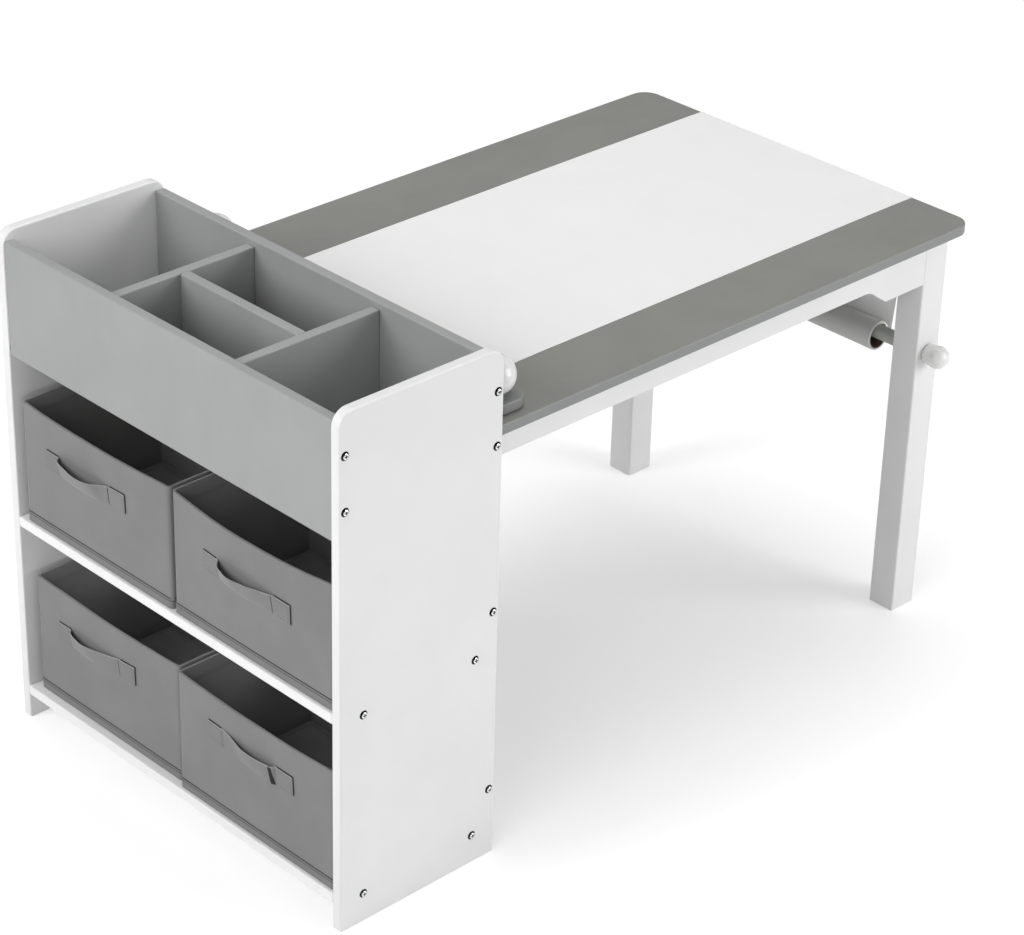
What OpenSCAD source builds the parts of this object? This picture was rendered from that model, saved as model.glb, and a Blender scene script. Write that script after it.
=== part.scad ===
// Children's drawing table. A storage unit with a toy tray and four fabric bins carries
// one end of the tabletop, and two legs carry the other. A paper roll turns on a dowel
// between the legs, and its sheet runs over the tabletop to a clamp bar.
// +X runs from the storage unit to the paper roll, +Y away from the near long side, +Z up.
// The origin is on the floor, under the middle of the bounding box.

/* [Storage unit] */
// Width over the two side panels
store_w = 542; // [500:2:600]
// Depth of the side panels
store_d = 213; // [206:1:240]
// Height of the side panels
store_h = 600; // [585:5:660]
// Thickness of the painted boards
board_t = 12; // [11:0.5:14]
// Radius of the side panels' top corners
panel_r = 18; // [8:1:26]
// Rounding along the boards' edges
edge_r = 1.5; // [0.8:0.1:1.8]

/* [Toy tray] */
// Rise of the tray boards' lower edges above the aprons' lower edges
tray_rise = 1; // [0:0.5:6]
// Drop from the tops of the side panels to the tray boards
tray_drop = 11; // [4:1:25]
// Set-in of the boards from the panels' front and back edges
board_inset = 1.5; // [0.5:0.5:3]
// Width of the two compartments in the middle
middle_bay_w = 184; // [150:2:220]
// Drop from the tray boards to the dividers
divider_drop = 7; // [2:1:20]
// Thickness of the tray floor
tray_floor_t = 6; // [5:0.5:8]
// Depth of the grooves round the tray floor
groove_d = 5; // [3:0.5:6]
// Board left below the grooves
groove_lift = 6; // [5:0.5:10]

/* [Shelves] */
// Height of the middle shelf's top face
middle_shelf_z = 261; // [250:1:275]
// Height of the bottom shelf's top face
bottom_shelf_z = 43; // [30:1:55]
// Height of the rails behind the bins
rail_h = 80; // [70:2:110]
// Distance of the shelf screws from the panels' front and back edges
shelf_screw_in = 31; // [20:1:45]

/* [Bins] */
// Depth of a bin
bin_d = 185; // [150:1:186]
// Height of a bin
bin_h = 145; // [110:1:165]
// Thickness of a bin's fabric and stiffener
bin_wall = 2.5; // [2:0.5:4]
// Radius of a bin's upright corners
bin_r = 6; // [4.5:0.5:12]
// Thickness of the loose base board in a bin
bin_base_t = 3; // [2:0.5:5]
// Set-back of the bins from the panels' front edges
bin_setback = 4; // [1:0.5:5]
// Extra set-back of the lower far bin, as it stands
bin_pushed = 6; // [0:0.5:7]
// Distance from the near panel to the near bins
bin_side_gap = 1; // [0.5:0.5:4]
// Distance from the far bins to the far panel
bin_far_gap = 10; // [2:0.5:20]
// Distance between neighbouring bins
bin_gap = 3; // [1:0.5:4]
// Length of a bin's strap, sewn ends included
handle_l = 136; // [100:2:180]
// Width of the strap
handle_w = 22; // [16:1:30]
// Height of the strap's middle above the bin's base
handle_z = 95; // [60:1:100]
// Sideways shift of the far bins' straps
handle_shift = 10; // [0:1:20]
// Thickness of the strap
handle_t = 2; // [1.5:0.5:3]
// Clear depth behind the strap's loop
handle_reach = 11; // [6:1:16]
// Length of each sewn end
handle_patch = 20; // [14:1:26]

/* [Table] */
// Height of the tabletop's upper face
table_h = 504; // [480:2:560]
// Length of the tabletop
top_l = 748.5; // [600:0.5:900]
// Radius of the tabletop's free corners
top_r = 22; // [6:1:40]
// Clearance between the tabletop's sides and the panels
top_gap = 0.5; // [0.5:0.5:3]
// Section of the legs, along the table
leg_l = 39; // [32:1:46]
// Section of the legs, across the table
leg_w = 36; // [32:1:44]
// Distance from the legs to the tabletop's free end
leg_end_in = 16.5; // [10:0.5:25]
// Distance from the legs to the tabletop's long edges
leg_in = 19.5; // [10:0.5:25]
// Height of the aprons
apron_h = 36; // [30:1:46]
// Extra depth of the aprons beside the legs
apron_drop = 20.5; // [10:0.5:30]
// Length of the deeper stretch beside the legs
apron_deep_l = 66; // [50:1:90]
// Radius of the shoulder between the two depths
shoulder_r = 30; // [15:1:40]
// Slope of the shoulder, in degrees
shoulder_a = 36; // [25:1:45]
// Thickness of the ledger that carries the tabletop at the storage unit
ledger_t = 18; // [12:1:20]

/* [Paper] */
// Width of the paper
paper_w = 332; // [300:2:380]
// Sideways place of the paper on the table
paper_y = -3; // [-8:1:8]
// Thickness of the sheet
sheet_t = 0.4; // [0.3:0.1:0.6]
// Outer diameter of the paper left on the roll
roll_d = 36; // [35:1:60]
// Outer diameter of the cardboard core
core_d = 33; // [32:0.5:34]
// Bore of the cardboard core
core_bore = 30; // [27:0.5:30.5]
// Distance that the roll has slipped along the dowel from the sheet
roll_slip = 2.5; // [-4:0.5:4]
// Diameter of the dowel
dowel_d = 17.5; // [14:0.5:20]
// Height of the dowel's axis
dowel_z = 342.5; // [300:0.5:380]
// Diameter of the dowel's ball knobs
roll_knob_d = 27.5; // [25:0.5:34]
// Diameter of their necks
roll_neck_d = 24; // [20:0.5:24.5]

/* [Paper clamp] */
// Width of the clamp bar
clamp_w = 50; // [40:1:56]
// Corner radius of the clamp bar
clamp_r = 18; // [10:1:20]
// Thickness of the clamp bar
clamp_t = 12; // [8:0.5:15]
// Distance from the tabletop's storage end to the bar's middle
clamp_x = 38.5; // [38:0.5:80]
// Distance from the bar's ends to the tabletop's long edges
clamp_in = 12.5; // [8:0.5:16]
// Diameter of the clamp's ball knobs
clamp_knob_d = 43; // [30:1:46]
// Travel of the bar when both knobs are undone
clamp_lift = 4; // [2:0.5:6]
// Diameter of the clamp bolts
bolt_d = 6; // [5:0.5:6]

/* [Fasteners] */
// Diameter of the panel screws
screw_d = 5.5; // [4.5:0.5:6]
// Length of the panel screws
screw_l = 42; // [35:1:50]
// Diameter of the panel screws' domed heads
screw_head_d = 10; // [8:0.5:12]
// Height of the domed heads
screw_head_h = 2.3; // [1.5:0.1:3]
// Drop of the shelf screws below the shelves' middle
screw_drop = 2; // [0:0.5:2]
// Diameter of the wooden pins beside the screws
pin_d = 7; // [6:0.5:8]
// Length of the wooden pins
pin_l = 26; // [22:1:32]
// Thickness of the steel brackets
steel_t = 2; // [1.5:0.5:2.5]
// Diameter of the small bracket screws
small_screw_d = 3.5; // [3:0.5:4]

/* [Fits] */
// Gap between pieces that move and what they rest on
seat_gap = 0.3; // [0.2:0.1:0.4]
// Radial clearance of turning shafts
run_gap = 0.08; // [0.05:0.01:0.1]
// Radial clearance round screws, pins and inserts
bore_gap = 0.05; // [0.02:0.01:0.1]

/* [Hidden] */
$fn = 48;
white = [0.93, 0.93, 0.92];
grey = [0.55, 0.56, 0.54];
fabric = [0.45, 0.45, 0.45];
steel = [0.72, 0.73, 0.75];

// Plan of the storage unit
inner_w = store_w - 2 * board_t;
top_w = inner_w - 2 * top_gap;
back_face = store_d - board_inset;
handle_out = handle_reach + handle_t - bin_setback;
x_front = -(back_face + top_l + sheet_t - handle_out) / 2;
x_back = x_front + store_d;
x_end = x_front + back_face + top_l;
y_panel = inner_w / 2;

// Places along the depth of the storage unit
front_board_x = x_front + board_inset;
back_board_x = x_back - board_inset - board_t;
front_screw_x = front_board_x + board_t / 2;
back_screw_x = back_board_x + board_t / 2;
tray_l = back_board_x - front_board_x - board_t;
tray_mid_x = (front_board_x + back_board_x + board_t) / 2;

// Heights in the storage unit
tray_top_z = store_h - tray_drop;
tray_bottom_z = table_h - board_t - apron_h + tray_rise;
tray_board_h = tray_top_z - tray_bottom_z;
tray_screw_in = 0.27 * tray_board_h;
tray_floor_z = tray_bottom_z + groove_lift;
divider_z = tray_floor_z + tray_floor_t;
divider_h = tray_top_z - divider_drop - divider_z;
divider_y = (middle_bay_w + board_t) / 2;

// Screws and pins through each side panel, as [x, z]
shelf_zs = [for (z = [middle_shelf_z, bottom_shelf_z]) z - board_t / 2];
rail_zs = [middle_shelf_z + rail_h / 2, bottom_shelf_z + rail_h / 2];
tray_screw_zs = [tray_top_z - tray_screw_in, tray_bottom_z + tray_screw_in];
rail_pin_rise = rail_h / 2 - 16;
screw_places = concat(
    [for (x = [front_screw_x, back_screw_x], z = tray_screw_zs) [x, z]],
    [for (x = [x_front + shelf_screw_in, x_back - shelf_screw_in], z = shelf_zs)
        [x, z - screw_drop]],
    [for (z = rail_zs) [back_screw_x, z]]);
pin_places = concat(
    [for (x = [front_screw_x, back_screw_x]) [x, (tray_top_z + tray_bottom_z) / 2 + 6]],
    [for (z = shelf_zs) [x_front + store_d / 2, z]],
    [for (z = rail_zs, s = [-1, 1]) [back_screw_x, z + s * rail_pin_rise]]);
pin_in_panel = 0.6 * board_t;

// Bins
bin_x = x_front + bin_setback;
pushed_x = bin_x + bin_pushed;
bin_rows = [middle_shelf_z + seat_gap, bottom_shelf_z + seat_gap];
bin_w = (inner_w - bin_side_gap - bin_gap - bin_far_gap) / 2;
bin_near_y = -y_panel + bin_side_gap;
bin_columns = [bin_near_y, bin_near_y + bin_w + bin_gap];

// Table
under_z = table_h - board_t;
top_x = x_front + back_face;
leg_y = top_w / 2 - leg_in;
leg_x = x_end - leg_end_in - leg_l;
apron_l = leg_x - top_x;
apron_in_y = leg_y - board_t;
end_apron_x = leg_x + leg_l - board_t;
ledger_screw_ys = [-0.7 * apron_in_y, 0, 0.7 * apron_in_y];

// Paper roll
roll_x = leg_x + leg_l / 2;
roll_z = dowel_z - (core_bore - dowel_d) / 2 + seat_gap;
knob_off = roll_knob_d / 2 + 1.5;
tenon_d = dowel_d / 2;
tenon_l = knob_off + roll_knob_d / 5;

// Path of the sheet, as [x, z, normal x, normal z] along its middle
sheet_start = top_x + clamp_x - clamp_w / 2 - 7;
web_r = roll_d / 2 + seat_gap + sheet_t / 2;
web_dx = x_end + sheet_t / 2 - roll_x;
web_dz = under_z + edge_r - roll_z;
web_a = atan2(web_dz, web_dx) - acos(web_r / norm([web_dx, web_dz]));
sheet_path = concat(
    [[sheet_start, table_h + sheet_t / 2, 0, 1]],
    [for (a = [90:-22.5:0]) let (r = edge_r + sheet_t / 2)
        [x_end - edge_r + r * cos(a), table_h - edge_r + r * sin(a), cos(a), sin(a)]],
    [[x_end + sheet_t / 2, under_z + edge_r, cos(web_a / 2), sin(web_a / 2)]],
    [[roll_x + web_r * cos(web_a), roll_z + web_r * sin(web_a), cos(web_a), sin(web_a)]]);

// Paper clamp
clamp_mid_x = top_x + clamp_x;
clamp_l = top_w - 2 * clamp_in;
bolt_head_d = 2 * bolt_d;
bolt_head_h = 3;
clamp_bolt_y = apron_in_y - bolt_head_d / 2 - 0.5;
clamp_z = table_h + sheet_t + seat_gap;
clamp_flat = 1;
clamp_knob_z = clamp_z + clamp_t + seat_gap + clamp_knob_d / 2 - clamp_flat;
insert_d = bolt_d + 4;
insert_l = 15;
bolt_top_z = clamp_knob_z - clamp_knob_d / 2 + clamp_flat + insert_l - 1;

// Corner brackets: the plate stands clear of the leg's inner corner
bracket_h = 26;
bracket_tab = 22;
bracket_clear = 9;
bracket_z = under_z - bracket_h - 6;
bracket_c = bracket_clear * sqrt(2);
hanger_l = 42;
hanger_in = 24;

// Small angle brackets under the tabletop
angle_l = 18;
angle_w = 16;
angle_places = concat(
    [for (x = [top_x + 0.3 * apron_l, top_x + 0.7 * apron_l], s = [-1, 1]) [x, s * apron_in_y, -90 * s]],
    [[end_apron_x, 0, 180]],
    [for (s = [-1, 1]) [top_x + ledger_t, s * 0.35 * apron_in_y, 0]]);

// A flat board with rounded edges. Each corner is [x, y, radius]; it is t thick, along +Z.
module soft_plate(corners, t) {
    e = edge_r;
    hull()
        for (c = corners, k = [0:2]) {
            inset = [e, 0.29 * e, 0][k];
            lift = [0, 0.29 * e, e][k];
            translate([c[0], c[1], lift])
                cylinder(r = c[2] - inset, h = t - 2 * lift, $fn = c[2] > 5 ? 40 : 12);
        }
}

function box_corners(l, w, r) = [for (i = [0, 1], j = [0, 1]) [i ? l - r : r, j ? w - r : r, r]];

// A rectangular board with its lowest corner at the origin
module soft_box(l, w, t) {
    soft_plate(box_corners(l, w, edge_r + 0.5), t);
}

// A board standing across the table: l along Y, h along Z, t along X
module board_across(l, h, t) {
    translate([0, -l / 2, 0]) rotate([90, 0, 90]) soft_box(l, h, t);
}

// A board standing along the table: l along X, h along Z, t along Y from its near face
module board_along(l, h, t) {
    translate([0, t, 0]) rotate([90, 0, 0]) soft_box(l, h, t);
}

// Clearance bores for the screws and pins of both side panels
module panel_bores() {
    for (s = [-1, 1]) {
        for (p = screw_places)
            translate([p[0], s * (store_w / 2 + 1), p[1]]) rotate([s * 90, 0, 0])
                cylinder(d = screw_d + 2 * bore_gap, h = screw_l + 2);
        for (p = pin_places)
            translate([p[0], s * (y_panel + pin_in_panel + bore_gap), p[1]]) rotate([s * 90, 0, 0])
                cylinder(d = pin_d + 2 * bore_gap, h = pin_l + 2 * bore_gap);
    }
}

// A rounded side panel on the near side
module side_panel() {
    difference() {
        translate([x_front, -y_panel, 0]) rotate([90, 0, 0])
            soft_plate([[2, 2, 2], [store_d - 2, 2, 2],
                [store_d - panel_r, store_h - panel_r, panel_r],
                [panel_r, store_h - panel_r, panel_r]], board_t);
        panel_bores();
        translate([front_board_x, -y_panel - groove_d, tray_floor_z - bore_gap])
            cube([back_board_x + board_t - front_board_x, groove_d + 1, tray_floor_t + 2 * bore_gap]);
    }
}

module side_panel_near() {
    color(white) side_panel();
}

module side_panel_far() {
    color(white) mirror([0, 1, 0]) side_panel();
}

module tray_board(x, groove_x) {
    difference() {
        translate([x, 0, tray_bottom_z]) board_across(inner_w, tray_board_h, board_t);
        panel_bores();
        divider_bores();
        translate([groove_x, -store_w / 2, tray_floor_z - bore_gap])
            cube([groove_d, store_w, tray_floor_t + 2 * bore_gap]);
    }
}

module front_board() {
    color(grey) tray_board(front_board_x, front_board_x + board_t - groove_d);
}

module back_board() {
    color(grey) difference() {
        tray_board(back_board_x, back_board_x);
        for (y = ledger_screw_ys)
            translate([back_board_x + board_t + ledger_t, y, under_z - apron_h / 2])
                rotate([0, -90, 0]) cylinder(d = small_screw_d + 2 * bore_gap, h = ledger_t + 8);
    }
}

module tray_floor() {
    l = tray_l + 2 * groove_d - 2 * bore_gap;
    w = inner_w + 2 * groove_d - 2 * bore_gap;
    color(grey) translate([tray_mid_x - l / 2, -w / 2, tray_floor_z]) cube([l, w, tray_floor_t]);
}

// Pins that hold the dividers, as [x, y, direction]
divider_pin_zs = [divider_z + 0.25 * divider_h, divider_z + 0.75 * divider_h];
divider_pin_d = 5;
divider_pin_l = 20;
divider_pin_in = 7;

module divider_pin_set(grow) {
    for (z = divider_pin_zs, s = [-1, 1]) {
        translate([front_board_x + board_t - divider_pin_in - grow, s * divider_y, z])
            rotate([0, 90, 0]) cylinder(d = divider_pin_d + 2 * grow, h = divider_pin_l + 2 * grow);
        translate([back_board_x + divider_pin_in + grow, s * divider_y, z])
            rotate([0, -90, 0]) cylinder(d = divider_pin_d + 2 * grow, h = divider_pin_l + 2 * grow);
        translate([tray_mid_x, s * (middle_bay_w / 2 + divider_pin_in + grow), z - 8])
            rotate([s * 90, 0, 0]) cylinder(d = divider_pin_d + 2 * grow, h = divider_pin_l + 2 * grow);
    }
}

module divider_bores() {
    divider_pin_set(bore_gap);
}

module cross_divider() {
    difference() {
        translate([front_board_x + board_t, -divider_y - board_t / 2, divider_z])
            board_along(tray_l, divider_h, board_t);
        divider_bores();
    }
}

module cross_divider_near() {
    color(grey) cross_divider();
}

module cross_divider_far() {
    color(grey) mirror([0, 1, 0]) cross_divider();
}

module long_divider() {
    color(grey) difference() {
        translate([tray_mid_x - board_t / 2, 0, divider_z])
            board_across(middle_bay_w, divider_h, board_t);
        divider_bores();
    }
}

// A shelf with its top face at z
module shelf(z) {
    difference() {
        translate([x_front, -inner_w / 2, z - board_t])
            soft_box(back_board_x + board_t - x_front, inner_w, board_t);
        panel_bores();
    }
}

module middle_shelf() {
    color(white) shelf(middle_shelf_z);
}

module bottom_shelf() {
    color(white) shelf(bottom_shelf_z);
}

module back_rail(z) {
    difference() {
        translate([back_board_x, 0, z]) board_across(inner_w, rail_h, board_t);
        panel_bores();
    }
}

module middle_back_rail() {
    color(white) back_rail(middle_shelf_z);
}

module bottom_back_rail() {
    color(white) back_rail(bottom_shelf_z);
}

// A countersunk screw with a cross recess: its head's face is at z = 0 and it points down
module cross_screw(d, l, head_d, head_h) {
    difference() {
        union() {
            translate([0, 0, -l]) cylinder(d = d, h = l, $fn = 24);
            translate([0, 0, -head_h]) cylinder(d1 = d, d2 = head_d, h = head_h, $fn = 24);
        }
        for (a = [0, 90])
            rotate([0, 0, a]) translate([-0.3 * head_d, -0.07 * head_d, -0.6 * head_h])
                cube([0.6 * head_d, 0.14 * head_d, head_h]);
    }
}

// Domed screws through the near panel, each with a cross recess
module panel_screws() {
    cap_r = (pow(screw_head_d / 2, 2) + pow(screw_head_h, 2)) / (2 * screw_head_h);
    for (p = screw_places)
        translate([p[0], -store_w / 2, p[1]]) rotate([90, 0, 0]) {
            translate([0, 0, -screw_l]) cylinder(d = screw_d, h = screw_l, $fn = 24);
            difference() {
                intersection() {
                    translate([0, 0, screw_head_h - cap_r]) sphere(r = cap_r);
                    cylinder(d = screw_head_d, h = screw_head_h);
                }
                for (a = [0, 90])
                    rotate([0, 0, a]) translate([-0.22 * screw_head_d, -0.6, 0.5 * screw_head_h])
                        cube([0.44 * screw_head_d, 1.2, screw_head_h]);
            }
        }
}

module panel_screws_near() {
    color(steel) panel_screws();
}

module panel_screws_far() {
    color(steel) mirror([0, 1, 0]) panel_screws();
}

module wood_pins() {
    color("burlywood") {
        for (s = [-1, 1], p = pin_places)
            translate([p[0], s * (y_panel + pin_in_panel), p[1]]) rotate([s * 90, 0, 0])
                cylinder(d = pin_d, h = pin_l);
        divider_pin_set(0);
    }
}

// A rounded rectangle in plan, with its lowest corner at the origin
module round_plan(l, w, r) {
    translate([r, 0]) square([l - 2 * r, w]);
    translate([0, r]) square([l, w - 2 * r]);
    for (x = [r, l - r], y = [r, w - r])
        translate([x, y]) circle(r);
}

module bin(x, y, z) {
    translate([x, y, z])
        difference() {
            linear_extrude(bin_h) round_plan(bin_d, bin_w, bin_r);
            translate([bin_wall, bin_wall, bin_wall])
                linear_extrude(bin_h)
                    round_plan(bin_d - 2 * bin_wall, bin_w - 2 * bin_wall, bin_r - bin_wall);
        }
}

// How far the strap's inner face stands off the bin, at a place along it from 0 to 1
function strap_bow(u) = handle_reach * pow(max(0, sin(180 * u)), 0.6);

// A strap in plan: sewn ends flat on the bin, and a bowed loop between them
module strap_plan() {
    loop_l = handle_l - 2 * handle_patch;
    steps = [0:1 / 16:1];
    inner = [for (u = steps) [-strap_bow(u), (u - 0.5) * loop_l]];
    outer = [for (p = inner) [p[0] - handle_t, p[1]]];
    polygon(concat(
        [[0, -handle_l / 2]], inner, [[0, handle_l / 2], [-handle_t, handle_l / 2]],
        [for (i = [len(outer) - 1:-1:0]) outer[i]], [[-handle_t, -handle_l / 2]]));
}

module handle(x, y, z, shift) {
    translate([x, y + bin_w / 2 + shift, z + handle_z - handle_w / 2])
        linear_extrude(handle_w) strap_plan();
}

module base_board(x, y, z) {
    inset = bin_wall + 0.5;
    translate([x + inset, y + inset, z + bin_wall])
        linear_extrude(bin_base_t)
            round_plan(bin_d - 2 * inset, bin_w - 2 * inset, bin_r - inset);
}

module bin_upper_near() { color(fabric) bin(bin_x, bin_columns[0], bin_rows[0]); }
module bin_upper_far() { color(fabric) bin(bin_x, bin_columns[1], bin_rows[0]); }
module bin_lower_near() { color(fabric) bin(bin_x, bin_columns[0], bin_rows[1]); }
module bin_lower_far() { color(fabric) bin(pushed_x, bin_columns[1], bin_rows[1]); }
module handle_upper_near() { color(fabric) handle(bin_x, bin_columns[0], bin_rows[0], 0); }
module handle_upper_far() {
    color(fabric) handle(bin_x, bin_columns[1], bin_rows[0], handle_shift);
}
module handle_lower_near() { color(fabric) handle(bin_x, bin_columns[0], bin_rows[1], 0); }
module handle_lower_far() {
    color(fabric) handle(pushed_x, bin_columns[1], bin_rows[1], handle_shift);
}
module base_upper_near() { color(fabric) base_board(bin_x, bin_columns[0], bin_rows[0]); }
module base_upper_far() { color(fabric) base_board(bin_x, bin_columns[1], bin_rows[0]); }
module base_lower_near() { color(fabric) base_board(bin_x, bin_columns[0], bin_rows[1]); }
module base_lower_far() { color(fabric) base_board(pushed_x, bin_columns[1], bin_rows[1]); }

module tabletop() {
    r = edge_r + 0.5;
    color(grey) difference() {
        translate([top_x, -top_w / 2, under_z])
            soft_plate([[r, r, r], [r, top_w - r, r],
                [top_l - top_r, top_r, top_r], [top_l - top_r, top_w - top_r, top_r]], board_t);
        for (s = [-1, 1])
            translate([clamp_mid_x, s * clamp_bolt_y, under_z - 1])
                cylinder(d = bolt_d + 2 * bore_gap, h = board_t + 2);
        angle_screws(bore_gap);
    }
}

// Outline of a long apron: shallow along its length, with a rounded shoulder beside the leg
module apron_plan() {
    arc = [for (a = [0:6:shoulder_a]) [shoulder_r * sin(a), shoulder_r * (1 - cos(a))]];
    arc_end = arc[len(arc) - 1];
    slope_l = (apron_drop - arc_end[1]) / tan(shoulder_a);
    start = apron_l - apron_deep_l - arc_end[0] - slope_l;
    polygon(concat(
        [[0, 0], [apron_l, 0], [apron_l, -apron_h - apron_drop],
            [apron_l - apron_deep_l, -apron_h - apron_drop]],
        [for (i = [len(arc) - 1:-1:0]) [start + arc[i][0], -apron_h - arc[i][1]]],
        [[0, -apron_h]]));
}

module apron() {
    difference() {
        translate([top_x, -apron_in_y, under_z]) rotate([90, 0, 0])
            linear_extrude(board_t) apron_plan();
        corner_screws(bore_gap);
        angle_screws(bore_gap);
    }
}

module apron_near() {
    color(white) apron();
}

module apron_far() {
    color(white) mirror([0, 1, 0]) apron();
}

module end_apron() {
    color(white) difference() {
        translate([end_apron_x, 0, under_z - apron_h])
            board_across(2 * (leg_y - leg_w), apron_h, board_t);
        corner_screws(bore_gap);
        mirror([0, 1, 0]) corner_screws(bore_gap);
        angle_screws(bore_gap);
    }
}

module ledger() {
    color(white) difference() {
        translate([top_x, 0, under_z - apron_h])
            board_across(2 * apron_in_y, apron_h, ledger_t);
        for (y = ledger_screw_ys)
            translate([top_x - 1, y, under_z - apron_h / 2]) rotate([0, 90, 0])
                cylinder(d = small_screw_d + 2 * bore_gap, h = ledger_t + 2);
        for (y = ledger_screw_ys)
            translate([top_x + ledger_t - 1.5, y, under_z - apron_h / 2]) rotate([0, 90, 0])
                cylinder(d = 2 * small_screw_d + 0.2, h = 3);
        angle_screws(bore_gap);
    }
}

module ledger_screws() {
    color(steel)
        for (y = ledger_screw_ys)
            translate([top_x + ledger_t - 0.1, y, under_z - apron_h / 2]) rotate([0, 90, 0])
                cross_screw(small_screw_d, ledger_t + 6, 2 * small_screw_d, 1.4);
}

module leg() {
    difference() {
        translate([leg_x, -leg_y, 0]) soft_box(leg_l, leg_w, under_z);
        translate([roll_x, -leg_y - 1, dowel_z]) rotate([-90, 0, 0])
            cylinder(d = dowel_d + 2 * run_gap, h = leg_w + 2);
        at_hanger(hanger_in + bore_gap) cylinder(d = bolt_d + 2 * bore_gap, h = hanger_l);
    }
}

module leg_near() {
    color(white) leg();
}

module leg_far() {
    color(white) mirror([0, 1, 0]) leg();
}

// Axis of the hanger bolt: out of the near leg's inner corner, from a depth inside it
module at_hanger(depth) {
    translate([leg_x, -leg_y + leg_w, bracket_z + bracket_h / 2])
        rotate([0, 0, 135]) translate([-depth, 0, 0]) rotate([0, 90, 0]) children();
}

// A bent steel plate between the near apron and the end apron
module corner_bracket() {
    ax = leg_x - bracket_c - (leg_w - board_t);
    ay = -apron_in_y;
    bx = end_apron_x;
    by = ay + (bx - ax);
    t = steel_t;
    k = t * (sqrt(2) - 1);
    difference() {
        translate([0, 0, bracket_z])
            linear_extrude(bracket_h)
                polygon([[ax - bracket_tab, ay], [ax, ay], [bx, by], [bx, by + bracket_tab],
                    [bx - t, by + bracket_tab], [bx - t, by + k], [ax - k, ay + t],
                    [ax - bracket_tab, ay + t]]);
        corner_screws(bore_gap);
        at_hanger(0) cylinder(d = bolt_d + 4 * bore_gap, h = hanger_l);
    }
}

module corner_bracket_near() {
    color(steel) corner_bracket();
}

module corner_bracket_far() {
    color(steel) mirror([0, 1, 0]) corner_bracket();
}

// A pan-head screw: its head sits on z = 0 and it points down
module pan_screw(d, l, grow) {
    translate([0, 0, -l - grow]) cylinder(d = d + 2 * grow, h = l + 2 * grow, $fn = 24);
    if (grow == 0) cylinder(d = 2 * d, h = 0.5 * d, $fn = 24);
}

// Screws through the near corner bracket's two tabs
module corner_screws(grow) {
    ax = leg_x - bracket_c - (leg_w - board_t);
    by = -apron_in_y + end_apron_x - ax;
    for (z = [bracket_z + 7, bracket_z + bracket_h - 7]) {
        translate([ax - bracket_tab / 2, -apron_in_y + steel_t, z]) rotate([-90, 0, 0])
            pan_screw(small_screw_d, steel_t + 8, grow);
        translate([end_apron_x - steel_t, by + bracket_tab / 2, z]) rotate([0, -90, 0])
            pan_screw(small_screw_d, steel_t + 8, grow);
    }
}

module hanger_bolts() {
    color(steel)
        for (s = [0, 1])
            mirror([0, s, 0]) at_hanger(hanger_in) cylinder(d = bolt_d, h = hanger_l);
}

module hanger_nuts() {
    color(steel)
        for (s = [0, 1])
            mirror([0, s, 0]) at_hanger(-bracket_clear - steel_t)
                difference() {
                    cylinder(d = 1.8 * bolt_d, h = 0.8 * bolt_d, $fn = 6);
                    translate([0, 0, -1]) cylinder(d = bolt_d + 2 * bore_gap, h = bolt_d + 2);
                }
}

// A place for a small angle bracket: its back on an upright face, its top under the tabletop
module at_angles() {
    for (p = angle_places)
        translate([p[0], p[1], under_z]) rotate([0, 0, p[2]]) children();
}

module angle_brackets() {
    t = steel_t;
    color(steel) difference() {
        at_angles() {
            translate([0, -angle_w / 2, -angle_l]) cube([t, angle_w, angle_l]);
            translate([0, -angle_w / 2, -t]) cube([angle_l, angle_w, t]);
        }
        angle_screws(bore_gap);
    }
}

module angle_screws(grow) {
    at_angles() {
        translate([steel_t, 0, -0.6 * angle_l]) rotate([0, 90, 0])
            pan_screw(small_screw_d, steel_t + 7, grow);
        translate([0.6 * angle_l, 0, -steel_t]) rotate([180, 0, 0])
            pan_screw(small_screw_d, steel_t + 7, grow);
    }
}

module bracket_screws() {
    color(steel) {
        corner_screws(0);
        mirror([0, 1, 0]) corner_screws(0);
        angle_screws(0);
    }
}

module roll_dowel() {
    color(grey) translate([roll_x, 0, dowel_z]) rotate([90, 0, 0]) {
        cylinder(d = dowel_d, h = 2 * leg_y, center = true);
        cylinder(d = tenon_d, h = 2 * (leg_y + tenon_l), center = true);
    }
}

// A ball knob on the near end of the dowel, with a short neck that keeps off the leg
module roll_knob() {
    translate([roll_x, -leg_y, dowel_z]) rotate([90, 0, 0])
        difference() {
            union() {
                translate([0, 0, knob_off]) sphere(d = roll_knob_d);
                translate([0, 0, seat_gap]) cylinder(d = roll_neck_d, h = knob_off);
            }
            cylinder(d = tenon_d + 2 * bore_gap, h = tenon_l + bore_gap);
        }
}

module roll_knob_near() {
    color(white) roll_knob();
}

module roll_knob_far() {
    color(white) mirror([0, 1, 0]) roll_knob();
}

// A tube along Y on the roll's own axis
module roll_tube(outer_d, inner_d) {
    translate([roll_x, paper_y + roll_slip, roll_z]) rotate([90, 0, 0])
        difference() {
            cylinder(d = outer_d, h = paper_w, center = true);
            cylinder(d = inner_d, h = paper_w + 2, center = true);
        }
}

module paper_core() {
    color("tan") roll_tube(core_d, core_bore);
}

module paper_roll() {
    color("white") roll_tube(roll_d, core_d);
}

module paper_sheet() {
    h = sheet_t / 2;
    last = len(sheet_path) - 1;
    upper = [for (p = sheet_path) [p[0] + h * p[2], p[1] + h * p[3]]];
    lower = [for (i = [last:-1:0]) let (p = sheet_path[i]) [p[0] - h * p[2], p[1] - h * p[3]]];
    color("white") translate([0, paper_y + paper_w / 2, 0]) rotate([90, 0, 0])
        linear_extrude(paper_w) polygon(concat(upper, lower));
}

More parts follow.
